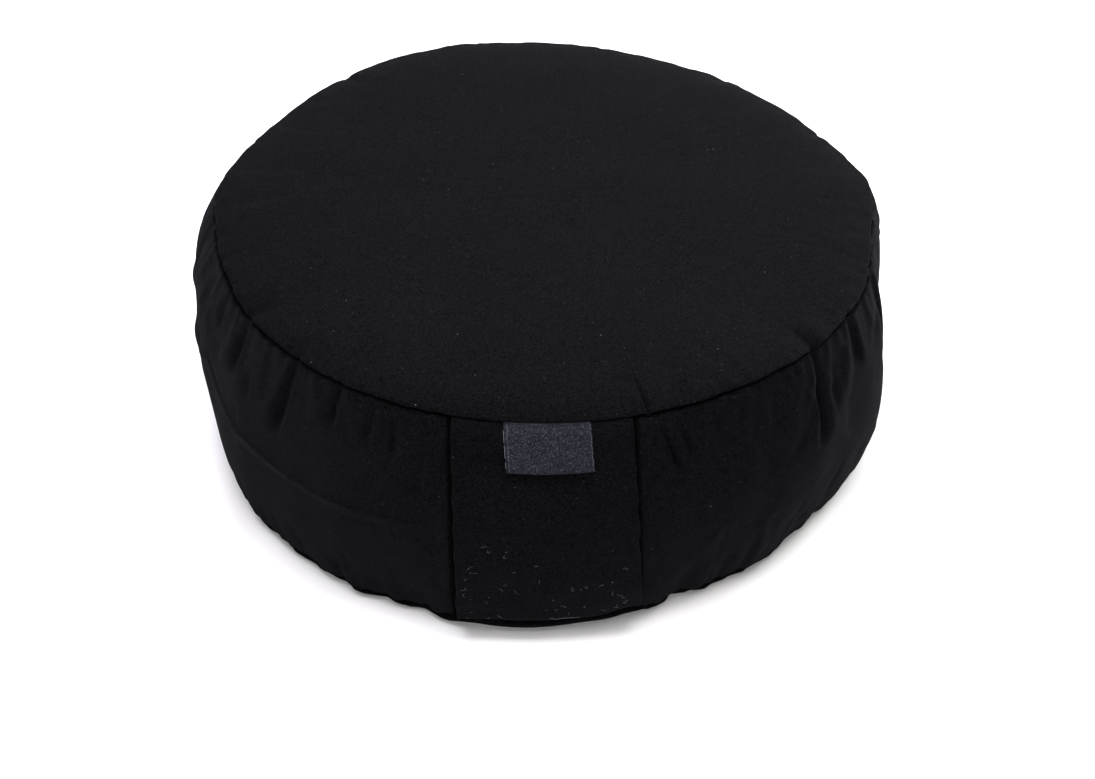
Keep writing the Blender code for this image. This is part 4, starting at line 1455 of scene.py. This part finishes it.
# Soft lights round the object: place and aim in metres, size across, power in watts
LIGHTS = (
    Light("left_soft_light", (-0.65, -0.40, 2.20), (0.0, 0.0, 0.05), 0.60, 17.0, (0.94, 0.94, 1.0)),
    Light("right_soft_light", (0.65, -0.40, 2.20), (0.0, 0.0, 0.05), 0.60, 24.0, (1.0, 0.99, 0.98)),
    Light("front_soft_light", (0.0, -1.10, 2.25), (0.0, 0.0, 0.05), 1.10, 26.0, (1.0, 0.98, 0.97)),
    Light("low_soft_light", (0.0, -1.90, 1.30), (0.0, 0.0, 0.0), 1.00, 14.0, (1.0, 0.98, 0.96)),
    Light("high_soft_light", (0.0, -0.35, 2.35), (0.0, 0.0, 0.05), 0.80, 26.0, (0.97, 0.94, 1.0)),
    Light("back_soft_light", (-0.2, 1.80, 1.00), (0.0, 0.0, 0.08), 1.20, 40.0, (0.95, 0.91, 1.0)),
    Light("left_rim_light", (-1.10, 1.00, 0.40), (0.0, 0.0, 0.07), 0.50, 3.0, (0.92, 0.91, 1.0)),
    Light("right_rim_light", (1.10, 1.00, 0.40), (0.0, 0.0, 0.07), 0.50, 26.0, (0.94, 1.0, 0.97)),
)
CAMERA_PLACE = (0.0, -0.80481, 0.68904)
CAMERA_RIGHT = (0.999996, -0.002633, 0.001043)
CAMERA_UP = (0.000900, 0.644472, 0.764628)
CAMERA_BACK = (-0.002685, -0.764624, 0.644471)
SENSOR_WIDTH = 36.0


class ZAFU_OT_stage(bpy.types.Operator):
    """Set the pale floor, the soft lights and the camera"""

    bl_idname = "zafu.stage"
    bl_label = "Studio floor, light and camera"

    def execute(self, context):
        settings = settings_of(context)
        stage = settings.stage
        scene = context.scene
        deselect_all()
        bpy.ops.mesh.primitive_circle_add(vertices=96, radius=stage.floor_radius, fill_type="NGON", location=(0, 0, 0))
        floor = context.object
        floor.name = floor.data.name = "studio_floor"
        floor.data.materials.append(material_for(settings, "studio_floor"))
        for light in LIGHTS:
            data = bpy.data.lights.new(light.name, "AREA")
            data.shape = "DISK"
            data.size = light.size
            data.energy = light.power
            data.color = light.colour
            item = bpy.data.objects.new(light.name, data)
            scene.collection.objects.link(item)
            item.location = light.place
            aim = Vector(light.aim) - Vector(light.place)
            item.rotation_euler = aim.to_track_quat("-Z", "Y").to_euler()
        world = bpy.data.worlds.new("studio_room")
        world.use_nodes = True
        background = world.node_tree.nodes["Background"]
        background.inputs["Color"].default_value = (1.0, 1.0, 1.0, 1.0)
        background.inputs["Strength"].default_value = stage.sky
        scene.world = world
        scene.view_settings.view_transform = "Standard"
        scene.view_settings.look = "None"
        data = bpy.data.cameras.new("photo_camera")
        data.sensor_fit = "HORIZONTAL"
        data.sensor_width = SENSOR_WIDTH
        data.lens = stage.lens
        camera = bpy.data.objects.new("photo_camera", data)
        scene.collection.objects.link(camera)
        turn = Matrix((CAMERA_RIGHT, CAMERA_UP, CAMERA_BACK)).transposed()
        camera.matrix_world = Matrix.Translation(CAMERA_PLACE) @ turn.to_4x4()
        scene.camera = camera
        return {"FINISHED"}


STEPS = ("cover", "front_panel", "label", "lint", "stage")


class ZAFU_PT_sidebar(bpy.types.Panel):
    """The cushion's sizes, colours and steps."""

    bl_idname = "ZAFU_PT_sidebar"
    bl_label = "Zafu cushion"
    bl_space_type = "VIEW_3D"
    bl_region_type = "UI"
    bl_category = "Zafu"

    def draw(self, context):
        settings = settings_of(context)
        for group in (settings.cover, settings.panel, settings.label, settings.colours, settings.stage):
            box = self.layout.box()
            box.label(text=group.bl_rna.description)
            for name in group.bl_rna.properties.keys():
                if name not in ("rna_type", "name"):
                    box.prop(group, name)
        for step in STEPS:
            self.layout.operator(f"zafu.{step}")


CLASSES = (
    CoverSizes,
    PanelSizes,
    LabelSizes,
    ClothColours,
    StageSizes,
    CushionSettings,
    ZAFU_OT_cover,
    ZAFU_OT_front_panel,
    ZAFU_OT_label,
    ZAFU_OT_lint,
    ZAFU_OT_stage,
    ZAFU_PT_sidebar,
)


def register():
    for item in CLASSES:
        bpy.utils.register_class(item)
    bpy.types.Scene.zafu_cushion = bpy.props.PointerProperty(type=CushionSettings)


def unregister():
    del bpy.types.Scene.zafu_cushion
    for item in reversed(CLASSES):
        bpy.utils.unregister_class(item)


def main():
    register()
    for step in STEPS:
        getattr(bpy.ops.zafu, step)()


if __name__ == "__main__":
    main()
